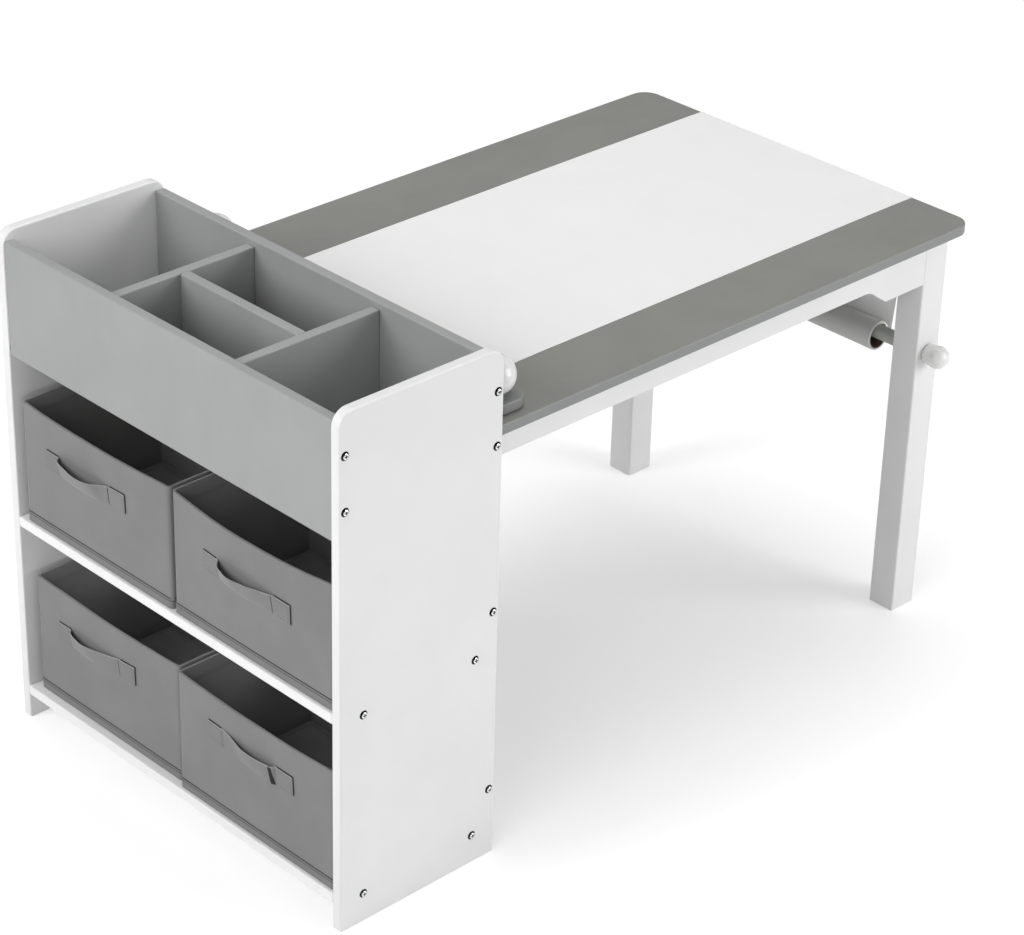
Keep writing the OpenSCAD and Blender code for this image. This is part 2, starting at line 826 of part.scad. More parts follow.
module clamp_bar() {
    color(grey) difference() {
        translate([clamp_mid_x - clamp_w / 2, -clamp_l / 2, clamp_z])
            soft_plate(box_corners(clamp_w, clamp_l, clamp_r), clamp_t);
        for (s = [-1, 1])
            translate([clamp_mid_x, s * clamp_bolt_y, clamp_z - 1])
                cylinder(d = bolt_d + 1, h = clamp_t + 2);
    }
}

module clamp_bolts() {
    color(steel)
        for (s = [-1, 1])
            translate([clamp_mid_x, s * clamp_bolt_y, under_z]) {
                cylinder(d = bolt_d, h = bolt_top_z - under_z);
                translate([0, 0, -bolt_head_h]) cylinder(d = bolt_head_d, h = bolt_head_h);
            }
}

// A ball knob over the near bolt, cut flat where it bears on the bar
module clamp_knob() {
    flat_z = clamp_flat - clamp_knob_d / 2;
    translate([clamp_mid_x, -clamp_bolt_y, clamp_knob_z])
        difference() {
            sphere(d = clamp_knob_d);
            translate([0, 0, flat_z - clamp_knob_d]) cylinder(d = clamp_knob_d, h = clamp_knob_d);
            translate([0, 0, flat_z - 1]) cylinder(d = insert_d + 2 * bore_gap, h = insert_l + 1);
        }
}

module clamp_insert() {
    flat_z = clamp_flat - clamp_knob_d / 2;
    translate([clamp_mid_x, -clamp_bolt_y, clamp_knob_z + flat_z])
        difference() {
            cylinder(d = insert_d, h = insert_l);
            translate([0, 0, -1]) cylinder(d = bolt_d + 2 * run_gap, h = insert_l + 2);
        }
}

module clamp_knob_near() {
    color(white) clamp_knob();
}

module clamp_knob_far() {
    color(white) mirror([0, 1, 0]) clamp_knob();
}

module clamp_insert_near() {
    color("goldenrod") clamp_insert();
}

module clamp_insert_far() {
    color("goldenrod") mirror([0, 1, 0]) clamp_insert();
}

side_panel_near();
side_panel_far();
front_board();
back_board();
tray_floor();
cross_divider_near();
cross_divider_far();
long_divider();
middle_shelf();
bottom_shelf();
middle_back_rail();
bottom_back_rail();
panel_screws_near();
panel_screws_far();
wood_pins();
bin_upper_near();
bin_upper_far();
bin_lower_near();
bin_lower_far();
handle_upper_near();
handle_upper_far();
handle_lower_near();
handle_lower_far();
base_upper_near();
base_upper_far();
base_lower_near();
base_lower_far();
tabletop();
apron_near();
apron_far();
end_apron();
ledger();
ledger_screws();
leg_near();
leg_far();
corner_bracket_near();
corner_bracket_far();
hanger_bolts();
hanger_nuts();
angle_brackets();
bracket_screws();
roll_dowel();
roll_knob_near();
roll_knob_far();
paper_core();
paper_roll();
paper_sheet();
clamp_bar();
clamp_bolts();
clamp_knob_near();
clamp_knob_far();
clamp_insert_near();
clamp_insert_far();
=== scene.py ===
import math

import bmesh
import bpy
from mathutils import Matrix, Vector, noise


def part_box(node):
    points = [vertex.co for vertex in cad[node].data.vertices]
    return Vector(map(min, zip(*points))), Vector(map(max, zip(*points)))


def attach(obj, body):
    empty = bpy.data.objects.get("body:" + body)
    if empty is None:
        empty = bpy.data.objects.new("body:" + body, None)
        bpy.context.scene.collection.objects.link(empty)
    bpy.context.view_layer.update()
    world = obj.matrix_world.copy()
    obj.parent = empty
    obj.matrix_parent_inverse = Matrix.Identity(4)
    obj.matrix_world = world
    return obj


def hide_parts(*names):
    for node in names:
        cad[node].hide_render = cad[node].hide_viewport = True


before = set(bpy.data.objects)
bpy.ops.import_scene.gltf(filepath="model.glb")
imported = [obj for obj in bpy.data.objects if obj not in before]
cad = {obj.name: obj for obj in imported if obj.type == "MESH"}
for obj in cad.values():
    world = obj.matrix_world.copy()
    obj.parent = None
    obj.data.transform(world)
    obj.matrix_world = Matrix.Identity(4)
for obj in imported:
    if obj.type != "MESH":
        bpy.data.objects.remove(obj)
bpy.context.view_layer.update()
mm = 0.001
print("frame loaded:", len(cad), "nodes")


# camera, lamps and floor

cameraSetup = {
    "place": (-2.16156, -2.21889, 1.98159),
    "turn": (1.0623632, -0.0240866, -0.7628843),
    "lens": 110.616,
    "sensor": 36,
    "farthest": 60,
}
# each lamp: where it stands, what it looks at, its side and its power in watts
lampSetup = {
    "keyNear": {"place": (-3.0, -1.2, 2.0), "aim": (-0.2, 0, 0.35), "side": 2.0, "power": 32},
    "keyFar": {"place": (-3.0, 1.0, 2.0), "aim": (-0.3, 0, 0.35), "side": 1.8, "power": 47},
    "sideFill": {"place": (2.0, -3.2, 1.4), "aim": (0.1, 0, 0.35), "side": 2.2, "power": 70},
    "overhead": {"place": (0.4, 0.4, 3.6), "aim": (0.1, 0, 0.4), "side": 2.4, "power": 45},
}
skySetup = {"fill": 0.25, "seen": 1.0}
floorSetup = {"side": 18, "tone": (0.90, 0.90, 0.90), "lift": 0.34,
              "blankLong": 0.95, "blankWide": 0.80, "blankStart": 0.85, "blankEnd": 1.75}

bpy.ops.object.camera_add(location=cameraSetup["place"], rotation=cameraSetup["turn"])
camera = bpy.context.object
camera.name = "camera"
camera.data.lens = cameraSetup["lens"]
camera.data.sensor_width = cameraSetup["sensor"]
camera.data.clip_end = cameraSetup["farthest"]
bpy.context.scene.camera = camera
bpy.context.scene.view_settings.view_transform = "Standard"

for lampName, lamp in lampSetup.items():
    bpy.ops.object.light_add(type="AREA", location=lamp["place"])
    light = bpy.context.object
    light.name = lampName
    light.data.shape = "SQUARE"
    light.data.size = lamp["side"]
    light.data.energy = lamp["power"]
    towards = Vector(lamp["aim"]) - Vector(lamp["place"])
    light.rotation_euler = towards.to_track_quat("-Z", "Y").to_euler()
print("camera and lamps placed")


# shader expressions

class Signal:
    # a node's output, so that materials can be written as sums and products
    def __init__(self, finish, socket):
        self.finish, self.socket = finish, socket

    def calc(self, operation, *values):
        return self.finish.node("ShaderNodeMath", {"operation": operation}, dict(enumerate(values)))

    def __add__(self, other): return self.calc("ADD", self, other)
    def __radd__(self, other): return self.calc("ADD", other, self)
    def __sub__(self, other): return self.calc("SUBTRACT", self, other)
    def __rsub__(self, other): return self.calc("SUBTRACT", other, self)
    def __mul__(self, other): return self.calc("MULTIPLY", self, other)
    def __rmul__(self, other): return self.calc("MULTIPLY", other, self)
    def __truediv__(self, other): return self.calc("DIVIDE", self, other)
    def __rtruediv__(self, other): return self.calc("DIVIDE", other, self)
    def __pow__(self, other): return self.calc("POWER", self, other)
    def __abs__(self): return self.calc("ABSOLUTE", self)
    def larger(self, other): return self.calc("MAXIMUM", self, other)
    def sine(self): return self.calc("SINE", self)

    def band(self, low, high, first=0.0, last=1.0):
        # runs smoothly from first to last as the value goes from low to high
        return self.finish.node(
            "ShaderNodeMapRange", {"interpolation_type": "SMOOTHSTEP"},
            {0: self, 1: low, 2: high, 3: first, 4: last})


surfaceSockets = {
    "colour": "Base Color", "roughness": "Roughness", "metal": "Metallic", "normal": "Normal",
    "coat": "Coat Weight", "coatRoughness": "Coat Roughness", "sheen": "Sheen Weight",
    "sheenRoughness": "Sheen Roughness", "specular": "Specular IOR Level",
    "scatter": "Subsurface Weight", "scatterSize": "Subsurface Scale",
    "scatterRange": "Subsurface Radius",
}


class Finish:
    # a new material, or the world that is handed in
    def __init__(self, name, world=None):
        self.material = world or bpy.data.materials.new(name)
        self.material.use_nodes = True
        self.tree = self.material.node_tree
        self.tree.nodes.clear()
        self.places = {}

    def node(self, kind, settings=None, sockets=None, out=0):
        made = self.tree.nodes.new(kind)
        for key, value in (settings or {}).items():
            setattr(made, key, value)
        for key, value in (sockets or {}).items():
            if isinstance(value, Signal):
                self.tree.links.new(value.socket, made.inputs[key])
            else:
                made.inputs[key].default_value = value
        return Signal(self, made.outputs[out])

    def coords(self, scale=(1, 1, 1), turn=(0, 0, 0), shift=(0, 0, 0), kind="Object"):
        key = (scale, turn, shift, kind)
        if key not in self.places:
            if kind == "UV":
                raw = self.node("ShaderNodeUVMap", {"uv_map": "cloth"})
            else:
                raw = self.node("ShaderNodeTexCoord", out=kind)
            self.places[key] = self.node(
                "ShaderNodeMapping", None,
                {"Vector": raw, "Location": shift, "Rotation": turn, "Scale": scale})
        return self.places[key]

    def noise(self, scale, detail=2.0, rough=0.5, where=None, warp=0.0):
        return self.node("ShaderNodeTexNoise", None, {
            "Vector": where or self.coords(), "Scale": scale, "Detail": detail,
            "Roughness": rough, "Distortion": warp})

    def mix(self, factor, first, second):
        both = [c if isinstance(c, Signal) else (*c, 1) for c in (first, second)]
        return self.node("ShaderNodeMix", {"data_type": "RGBA"},
                         {0: factor, 6: both[0], 7: both[1]}, out=2)

    def split(self, vector):
        parts = self.node("ShaderNodeSeparateXYZ", None, {0: vector})
        made = parts.socket.node
        return [Signal(self, made.outputs[n]) for n in range(3)]

    def marked(self, name):
        # a number that a piece's points carry
        return self.node("ShaderNodeAttribute", {"attribute_name": name}, out="Fac")

    def bump(self, height, depth, strength):
        return self.node("ShaderNodeBump", None,
                         {"Height": height, "Distance": depth, "Strength": strength})

    def close(self, shader, kind="ShaderNodeOutputMaterial"):
        output = self.tree.nodes.new(kind)
        self.tree.links.new(shader.socket, output.inputs["Surface"])
        return self.material

    def surface(self, **values):
        sockets = {surfaceSockets[key]: value for key, value in values.items()}
        return self.close(self.node("ShaderNodeBsdfPrincipled", None, sockets))


# floor and sky

def layFloor():
    look = Finish("studioFloor")
    seen = look.node("ShaderNodeLightPath", out="Is Camera Ray")
    glossy = look.node("ShaderNodeLightPath", out="Is Glossy Ray")
    through = look.node("ShaderNodeLightPath", out="Is Transmission Ray")
    visible = seen.larger(glossy).larger(through)
    cloud = look.noise(1.3, 2)
    tone = look.mix(cloud, floorSetup["tone"], [c * 0.985 for c in floorSetup["tone"]])
    grain = look.bump(look.noise(60, 3), 0.0003, 0.2)
    shader = look.node("ShaderNodeBsdfPrincipled", None, {
        "Base Color": tone, "Roughness": 0.9, "Normal": grain, "Specular IOR Level": 0.1,
        "Emission Color": (1, 1, 1, 1), "Emission Strength": floorSetup["lift"]})
    plain = look.node("ShaderNodeBsdfDiffuse", None, {"Color": tone})
    both = look.node("ShaderNodeMixShader", None, {0: visible, 1: plain, 2: shader})
    # away from the table the floor turns plain white to the eye
    x, y, _ = look.split(look.coords())
    away = ((x / floorSetup["blankLong"]) ** 2 + (y / floorSetup["blankWide"]) ** 2) ** 0.5
    blank = visible * away.band(floorSetup["blankStart"], floorSetup["blankEnd"])
    white = look.node("ShaderNodeEmission", None, {"Color": (1, 1, 1, 1), "Strength": 1.0})
    whole = look.node("ShaderNodeMixShader", None, {0: blank, 1: both, 2: white})
    bpy.ops.mesh.primitive_plane_add(size=floorSetup["side"])
    floor = bpy.context.object
    floor.name = "floor"
    floor.data.materials.append(look.close(whole))


def hangSky():
    # white to the eye, a weak fill to everything else
    world = bpy.data.worlds.new("studioSky")
    bpy.context.scene.world = world
    look = Finish("studioSky", world)
    seen = look.node("ShaderNodeLightPath", out="Is Camera Ray")
    through = look.node("ShaderNodeLightPath", out="Is Transmission Ray")
    fill, white = [look.node("ShaderNodeBackground", None,
                             {"Strength": skySetup[key], "Color": (1, 1, 1, 1)})
                   for key in ("fill", "seen")]
    blend = look.node("ShaderNodeMixShader", None, {0: seen.larger(through), 1: fill, 2: white})
    look.close(blend, "ShaderNodeOutputWorld")


layFloor()
hangSky()
print("floor and sky made")


# finishes

def satinPaint(name, colour, deep, roughness, rim=None):
    # sprayed furniture paint: faint clouding, a fine orange peel and soft handling marks
    look = Finish(name)
    cloud = look.noise(9, 3, 0.55)
    speck = look.noise(620, 2, 0.6)
    tone = look.mix(cloud.band(0.35, 0.65), colour, deep)
    tone = look.mix(speck.band(0.60, 0.78, 0, 0.35), tone, deep)
    if rim:
        # the rounded rim below the given height is cooler than the flat
        _, _, z = look.split(look.coords())
        tone = look.mix(z.band(rim[0] - 2 * mm, rim[0] - 0.2 * mm), rim[1], tone)
    smears = look.noise(34, 4, 0.6, look.coords(scale=(1, 1, 0.35)))
    shine = smears.band(0.35, 0.7, roughness - 0.05, roughness + 0.07)
    ripple = look.noise(230, 2, 0.5)
    fine = look.noise(1500, 1, 0.5)
    relief = look.bump(ripple * 0.8 + fine * 0.2, 0.00008, 0.55)
    return look.surface(colour=tone, roughness=shine, normal=relief, specular=0.45)


def bareWood(name, pale, dark):
    look = Finish(name)
    along = look.coords(scale=(1, 0.12, 1))
    rings = look.noise(70, 3, 0.6, along, 0.8)
    fibre = look.noise(900, 2, 0.6, look.coords(scale=(1, 0.06, 1)))
    tone = look.mix(rings.band(0.3, 0.7), pale, dark)
    tone = look.mix(fibre.band(0.55, 0.75, 0, 0.4), tone, [c * 0.7 for c in dark])
    relief = look.bump(fibre + rings * 0.6, 0.00012, 0.6)
    return look.surface(colour=tone, roughness=rings.band(0.2, 0.8, 0.55, 0.7), normal=relief)


def shadedScrewSteel(name, bright, dark, face, low, high):
    # bright on the dome, with painted shade in the recess and a painted dark reflection round the
    # rim, by the height over the panel
    look = Finish(name)
    _, y, _ = look.split(look.coords())
    height = abs(y) - face
    stain = look.noise(900, 3, 0.55)
    top = look.mix(stain.band(0.4, 0.7), bright, [c * 0.85 for c in bright])
    tone = look.mix(height.band(low, high), dark, top)
    scratch = look.noise(1800, 2, 0.6)
    return look.surface(colour=tone, metal=1.0, roughness=scratch.band(0.3, 0.7, 0.16, 0.26),
                        normal=look.bump(scratch, 0.00002, 0.5))


def platedSteel(name, colour, roughness, scratchy):
    look = Finish(name)
    scratch = look.noise(800, 3, 0.6, look.coords(scale=(1, 1, 0.08)))
    stain = look.noise(90, 3, 0.55)
    tone = look.mix(stain.band(0.4, 0.7), colour, [c * 0.8 for c in colour])
    shine = scratch.band(0.3, 0.7, roughness - 0.06, roughness + 0.1)
    relief = look.bump(scratch, 0.00003 * scratchy, 0.5)
    return look.surface(colour=tone, metal=1.0, roughness=shine, normal=relief)


def feltCloth(name, colour, deep, shadeAndStitchLines=None):
    # bonded cloth: fibre mottling, a fine grid of bonding dots and a dull nap
    look = Finish(name)
    spot = look.coords(kind="UV")
    across, up, _ = look.split(spot)
    dotSpacing = 0.0013
    pitch = 2 * math.pi / dotSpacing
    dots = (across * pitch).sine() * (up * pitch).sine()
    fibre = look.noise(1400, 3, 0.65, spot)
    streak = look.noise(500, 3, 0.6, look.coords(scale=(1, 0.25, 1), kind="UV"))
    cloud = look.noise(16, 3, 0.5)
    tone = look.mix(cloud.band(0.3, 0.7), colour, deep)
    tone = look.mix(fibre.band(0.5, 0.8, 0, 0.5), tone, [c * 0.78 for c in deep])
    tone = look.mix(streak.band(0.55, 0.75, 0, 0.25), tone, [c * 1.25 for c in colour])
    if shadeAndStitchLines:
        # dark lines at the given heights of the hem: the first is painted shade along the hem's top
        # edge, the second runs along the stitches; the hem is a little darker below the first
        height = look.marked("hemHeight")
        below = height.band(shadeAndStitchLines[0], shadeAndStitchLines[0] + 0.3 * mm, 0.16, 0)
        tone = look.mix(below, tone, (0.05, 0.05, 0.05))
        for at in shadeAndStitchLines:
            line = abs(height - at).band(0.3 * mm, 0.55 * mm, 0.85, 0)
            tone = look.mix(line, tone, (0.03, 0.03, 0.03))
    # painted shade: the fold beside the near patch is darkened almost to black
    tone = look.mix(look.marked("creaseShade"), tone, (0.012, 0.012, 0.012))
    # painted highlight: the top edges of the straps and patches are lightened where light falls on
    # them
    tone = look.mix(look.marked("topEdgeHighlight"), tone, [c * 1.8 for c in colour])
    relief = look.bump(dots.band(0.25, 0.9, 0.5, 0.0) + fibre * 0.9 + streak * 0.5, 0.00011, 0.8)
    return look.surface(colour=tone, roughness=fibre.band(0.3, 0.7, 0.84, 0.96), normal=relief,
                        sheen=0.25, sheenRoughness=0.5, specular=0.2)


def threadCord(name, colour):
    look = Finish(name)
    twist = look.noise(2500, 2, 0.6, look.coords(scale=(1, 1, 0.3)))
    tone = look.mix(twist.band(0.35, 0.7), colour, [c * 0.55 for c in colour])
    return look.surface(colour=tone, roughness=twist.band(0.3, 0.7, 0.6, 0.75),
                        normal=look.bump(twist, 0.0001, 0.6))


def drawingPaper(name, colour, deep, cutEnds=None, scatter=0.0):
    look = Finish(name)
    cloud = look.noise(12, 3, 0.5)
    fibre = look.noise(1100, 4, 0.7)
    tone = look.mix(cloud.band(0.35, 0.7), colour, deep)
    tone = look.mix(fibre.band(0.58, 0.8, 0, 0.5), tone, [c * 0.96 for c in deep])
    if cutEnds:
        # the cut ends of the roll are whiter than its face, whose darker tone is painted shade
        _, y, _ = look.split(look.coords(shift=(0, -cutEnds[0], 0)))
        tone = look.mix(abs(y).band(cutEnds[1] - 1.2 * mm, cutEnds[1] - 0.7 * mm), tone,
                        (0.88, 0.88, 0.87))
    relief = look.bump(fibre * 0.8 + look.noise(300, 2) * 0.6, 0.00005, 0.6)
    return look.surface(colour=tone, roughness=fibre.band(0.3, 0.7, 0.72, 0.82),
                        normal=relief, specular=0.3, scatter=scatter,
                        scatterSize=0.5 * mm, scatterRange=(1, 1, 1))


def coreCard(name, inside, edge, axis, bore):
    # brown inside the bore, the card's brown darkened there with painted shade, pale where the ends
    # and the outer face are cut
    look = Finish(name)
    x, _, z = look.split(look.coords(shift=(-axis[0], 0, -axis[1])))
    radius = (x * x + z * z) ** 0.5
    fibre = look.noise(700, 3, 0.6)
    wound = look.noise(90, 2, 0.5, look.coords(scale=(1, 3, 1), turn=(0.5, 0, 0)))
    brown = look.mix(wound.band(0.35, 0.65), inside, [c * 0.7 for c in inside])
    pale = look.mix(fibre.band(0.4, 0.7), edge, [c * 0.85 for c in edge])
    tone = look.mix(radius.band(bore * 1.005, bore * 1.02), brown, pale)
    return look.surface(colour=tone, roughness=fibre.band(0.3, 0.7, 0.8, 0.92),
                        normal=look.bump(fibre, 0.0001, 0.7))


def turnedGloss(name, colour, deep):
    # dipped paint on turned wood: glossy, with faint turning rings under it
    look = Finish(name)
    cloud = look.noise(40, 3, 0.5)
    tone = look.mix(cloud.band(0.35, 0.65), colour, deep)
    ripple = look.noise(140, 2, 0.5)
    return look.surface(colour=tone, roughness=cloud.band(0.3, 0.7, 0.2, 0.28),
                        normal=look.bump(ripple, 0.00012, 0.5), coat=0.35, coatRoughness=0.12)


# each finish has its tone and the deeper one that clouds it; the rim has one tone
tones = {
    "white": ((0.835, 0.835, 0.835), (0.81, 0.81, 0.81)),
    "litShelfWhite": ((0.895, 0.895, 0.895), (0.87, 0.87, 0.87)),
    "trayGrey": ((0.350, 0.358, 0.354), (0.334, 0.342, 0.338)),
    "topGrey": ((0.262, 0.264, 0.247), (0.246, 0.248, 0.233)),
    "topRim": (0.250, 0.258, 0.256),
    "barGrey": ((0.252, 0.258, 0.256), (0.237, 0.243, 0.241)),
    "rodGrey": ((0.44, 0.45, 0.42), (0.40, 0.41, 0.38)),
    "cloth": ((0.232, 0.232, 0.233), (0.212, 0.212, 0.213)),
    "strap": ((0.226, 0.226, 0.227), (0.206, 0.206, 0.207)),
}
whitePaint = satinPaint("whitePaint", *tones["white"], roughness=0.4)
# the shelves' white is a lighter copy of the panels' white: painted light for their brighter front
# edges
litShelfPaint = satinPaint("whiteShelfLitPaint", *tones["litShelfWhite"], roughness=0.4)
trayPaint = satinPaint("trayGreyPaint", *tones["trayGrey"], roughness=0.45)
topPaint = satinPaint("topGreyPaint", *tones["topGrey"], roughness=0.45,
                      rim=(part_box("tabletop")[1].z, tones["topRim"]))
barPaint = satinPaint("barGreyPaint", *tones["barGrey"], roughness=0.45)
rodPaint = satinPaint("rodGreyPaint", *tones["rodGrey"], roughness=0.5)
knobGloss = turnedGloss("knobGloss", (0.86, 0.86, 0.855), (0.83, 0.83, 0.82))
beech = bareWood("bareWood", (0.62, 0.45, 0.27), (0.50, 0.34, 0.19))
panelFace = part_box("side_panel_far")[1].y
# below these heights the screws carry painted shade in the recess and a painted dark reflection
# round the rim
screwShadeHeights = (1.3 * mm, 1.6 * mm)  # the heights between which the dome turns bright
chrome = shadedScrewSteel("brightScrew", (0.80, 0.81, 0.82), (0.018, 0.018, 0.02), panelFace,
                    *screwShadeHeights)
zinc = platedSteel("zincSteel", (0.50, 0.51, 0.53), 0.38, 2)
brass = platedSteel("plainBrass", (0.62, 0.44, 0.16), 0.32, 2)
# the first hem line is painted shade at the hem's top edge; the stitches run on the second
hemShadeAndStitchLines = (12.2 * mm, 9.2 * mm)
binCloth = feltCloth("binCloth", *tones["cloth"], shadeAndStitchLines=hemShadeAndStitchLines)
strapCloth = feltCloth("strapCloth", *tones["strap"])
# a near-black cloth that paints the shadow under the strap patches' rims
rimShadowCloth = feltCloth("rimShadowCloth", (0.035, 0.035, 0.035), (0.028, 0.028, 0.028))
boardCloth = feltCloth("boardCloth", (0.2, 0.2, 0.2), (0.18, 0.18, 0.18))
thread = threadCord("greyThread", (0.06, 0.06, 0.06))
paper = drawingPaper("drawingPaper", (0.92, 0.92, 0.917), (0.905, 0.905, 0.90), scatter=0.9)

rollLow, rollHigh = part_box("paper_roll")
# the roll's paper is a darker copy of the sheet's paper: painted shade for the roll under the table
shadedRollPaper = drawingPaper("shadedRollPaper", (0.66, 0.66, 0.655), (0.63, 0.63, 0.625),
                         ((rollLow.y + rollHigh.y) / 2, (rollHigh.y - rollLow.y) / 2))
coreLow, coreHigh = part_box("paper_core")
rollMiddle = ((coreLow.x + coreHigh.x) / 2, (coreLow.z + coreHigh.z) / 2)
coreBore = 15 * mm
cardCore = coreCard("cardCore", (0.10, 0.07, 0.045), (0.74, 0.72, 0.68), rollMiddle, coreBore)

nodeFinishes = {
    whitePaint: ["side_panel_near", "side_panel_far", "middle_back_rail",
                 "bottom_back_rail", "apron_near", "apron_far", "end_apron", "leg_near",
                 "leg_far"],
    litShelfPaint: ["middle_shelf", "bottom_shelf"],
    trayPaint: ["front_board", "back_board", "tray_floor", "cross_divider_near",
                "cross_divider_far", "long_divider"],
    topPaint: ["tabletop"],
    barPaint: ["clamp_bar"],
    rodPaint: ["roll_dowel"],
    beech: ["ledger", "corner_bracket_near", "corner_bracket_far", "wood_pins"],
    chrome: ["panel_screws_near", "panel_screws_far"],
    zinc: ["ledger_screws", "hanger_bolts", "hanger_nuts", "angle_brackets",
           "bracket_screws", "clamp_bolts"],
    brass: ["clamp_insert_near", "clamp_insert_far"],
    cardCore: ["paper_core"],
}
for finish, names in nodeFinishes.items():
    for name in names:
        slots = cad[name].material_slots
        if slots:
            for slot in slots:
                slot.material = finish
        else:
            cad[name].data.materials.append(finish)
print("finishes made:", len(nodeFinishes), "on the boards and fittings")


# modelling helpers

def take(piece):
    if bpy.context.object and bpy.context.object.mode != "OBJECT":
        bpy.ops.object.mode_set(mode="OBJECT")
    bpy.ops.object.select_all(action="DESELECT")
    piece.select_set(True)
    bpy.context.view_layer.objects.active = piece


def start(primitive, name, **settings):
    # a new primitive, with its place, turn and size in its mesh
    bpy.ops.object.select_all(action="DESELECT")
    primitive(**settings)
    piece = bpy.context.object
    take(piece)
    bpy.ops.object.transform_apply(location=True, rotation=True, scale=True)
    piece.name = name
    piece.data.name = name
    return piece


def edit(piece):
    take(piece)
    bpy.ops.object.mode_set(mode="EDIT")


def done():
    bpy.ops.object.mode_set(mode="OBJECT")


def pick(kind, test):
    # selects the faces or edges of the mesh in edit mode that pass a test
    bpy.ops.mesh.select_mode(type=kind)
    bpy.ops.mesh.select_all(action="DESELECT")
    mesh = bpy.context.object.data
    shape = bmesh.from_edit_mesh(mesh)
    for part in {"EDGE": shape.edges, "FACE": shape.faces}[kind]:
        if test(part):
            part.select_set(True)
    bmesh.update_edit_mesh(mesh)


def cut(place, way):
    bpy.ops.mesh.select_all(action="SELECT")
    bpy.ops.mesh.bisect(plane_co=place, plane_no=way)


def finishWith(piece, kind, **settings):
    take(piece)
    modifier = piece.modifiers.new(kind.lower(), kind)
    for key, value in settings.items():
        setattr(modifier, key, value)
    bpy.ops.object.modifier_apply(modifier=modifier.name)


def clean(piece):
    # doubles merged, slivers gone, faces outwards
    edit(piece)
    bpy.ops.mesh.select_all(action="SELECT")
    bpy.ops.mesh.remove_doubles(threshold=0.02 * mm)
    bpy.ops.mesh.dissolve_degenerate(threshold=0.01 * mm)
    bpy.ops.mesh.normals_make_consistent(inside=False)
    done()


def faceOut(piece):
    edit(piece)
    bpy.ops.mesh.select_all(action="SELECT")
    bpy.ops.mesh.normals_make_consistent(inside=False)
    done()


def smooth(piece, angle=38):
    take(piece)
    bpy.ops.object.shade_smooth_by_angle(angle=math.radians(angle))


def copyPiece(piece, name, shift):
    twin = bpy.data.objects.new(name, piece.data.copy())
    twin.data.name = name
    bpy.context.scene.collection.objects.link(twin)
    for point in twin.data.vertices:
        point.co += shift
    return twin


def clothMap(piece):
    # a UV map in metres, so that the weave keeps its size on every side
    layer = piece.data.uv_layers.get("cloth") or piece.data.uv_layers.new(name="cloth")
    for face in piece.data.polygons:
        n = [abs(c) for c in face.normal]
        axis = n.index(max(n))
        for loop in face.loop_indices:
            p = piece.data.vertices[piece.data.loops[loop].vertex_index].co
            layer.data[loop].uv = ((p.y, p.z), (p.x, p.z), (p.x, p.y))[axis]


def mark(piece, name, value):
    # a number on each point of the mesh, for its finish
    layer = piece.data.attributes.new(name, "FLOAT", "POINT")
    for n, point in enumerate(piece.data.vertices):
        layer.data[n].value = value(point.co)


def dress(piece, finish, body, slot, *nodes):
    piece.data.materials.clear()
    piece.data.materials.append(finish)
    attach(piece, body)
    if nodes:
        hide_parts(*nodes)


def ease(value, low, high):
    t = min(1, max(0, (value - low) / (high - low)))
    return t * t * (3 - 2 * t)


# fabric bins

binShape = {
    "cell": 6.5 * mm,
    "corner": 4.5 * mm,
    "cornerClear": 3 * mm,
    "wall": 2.2 * mm,
    "outerSide": 1.6 * mm,
    "hemHeight": 12 * mm,
    "hemRaise": 0.8 * mm,
    "foldDepth": 18 * mm,
    "foldRaise": 0.6 * mm,
    "foldRound": 0.35 * mm,
}
# how each bin stands: its front rim bows out and sags, its sides bow, its faces dent
binStands = {
    "upper_near": {"bow": 5.0, "sag": 5.5, "sides": -0.4, "dent": 0.9, "seed": 3.1},
    "upper_far": {"bow": 4.0, "sag": 1.5, "sides": 1.2, "dent": 0.8, "seed": 7.7},
    "lower_near": {"bow": 3.0, "sag": 1.5, "sides": -0.4, "dent": 0.8, "seed": 12.4},
    "lower_far": {"bow": 2.5, "sag": 1.5, "sides": 1.0, "dent": 0.9, "seed": 18.9},
}
# how the cloth gives between the corners, on every bin
binGive = {
    "edge": 9 * mm,
    "fullness": 2.4,
    "frontRise": 1.1,
    "sideRise": 1.2,
    "ripples": 13,
    "fineRipples": 2.3,
    "fineShare": 0.4,
    "footFade": (0.05, 0.35),
    "cornerFade": (0.02, 0.15),
    "backBow": 0.5 * mm,
    "backDent": 0.4,
    "sideDent": 0.5,
    "backDroop": 0.3,
    "sideDroop": 0.3,
}


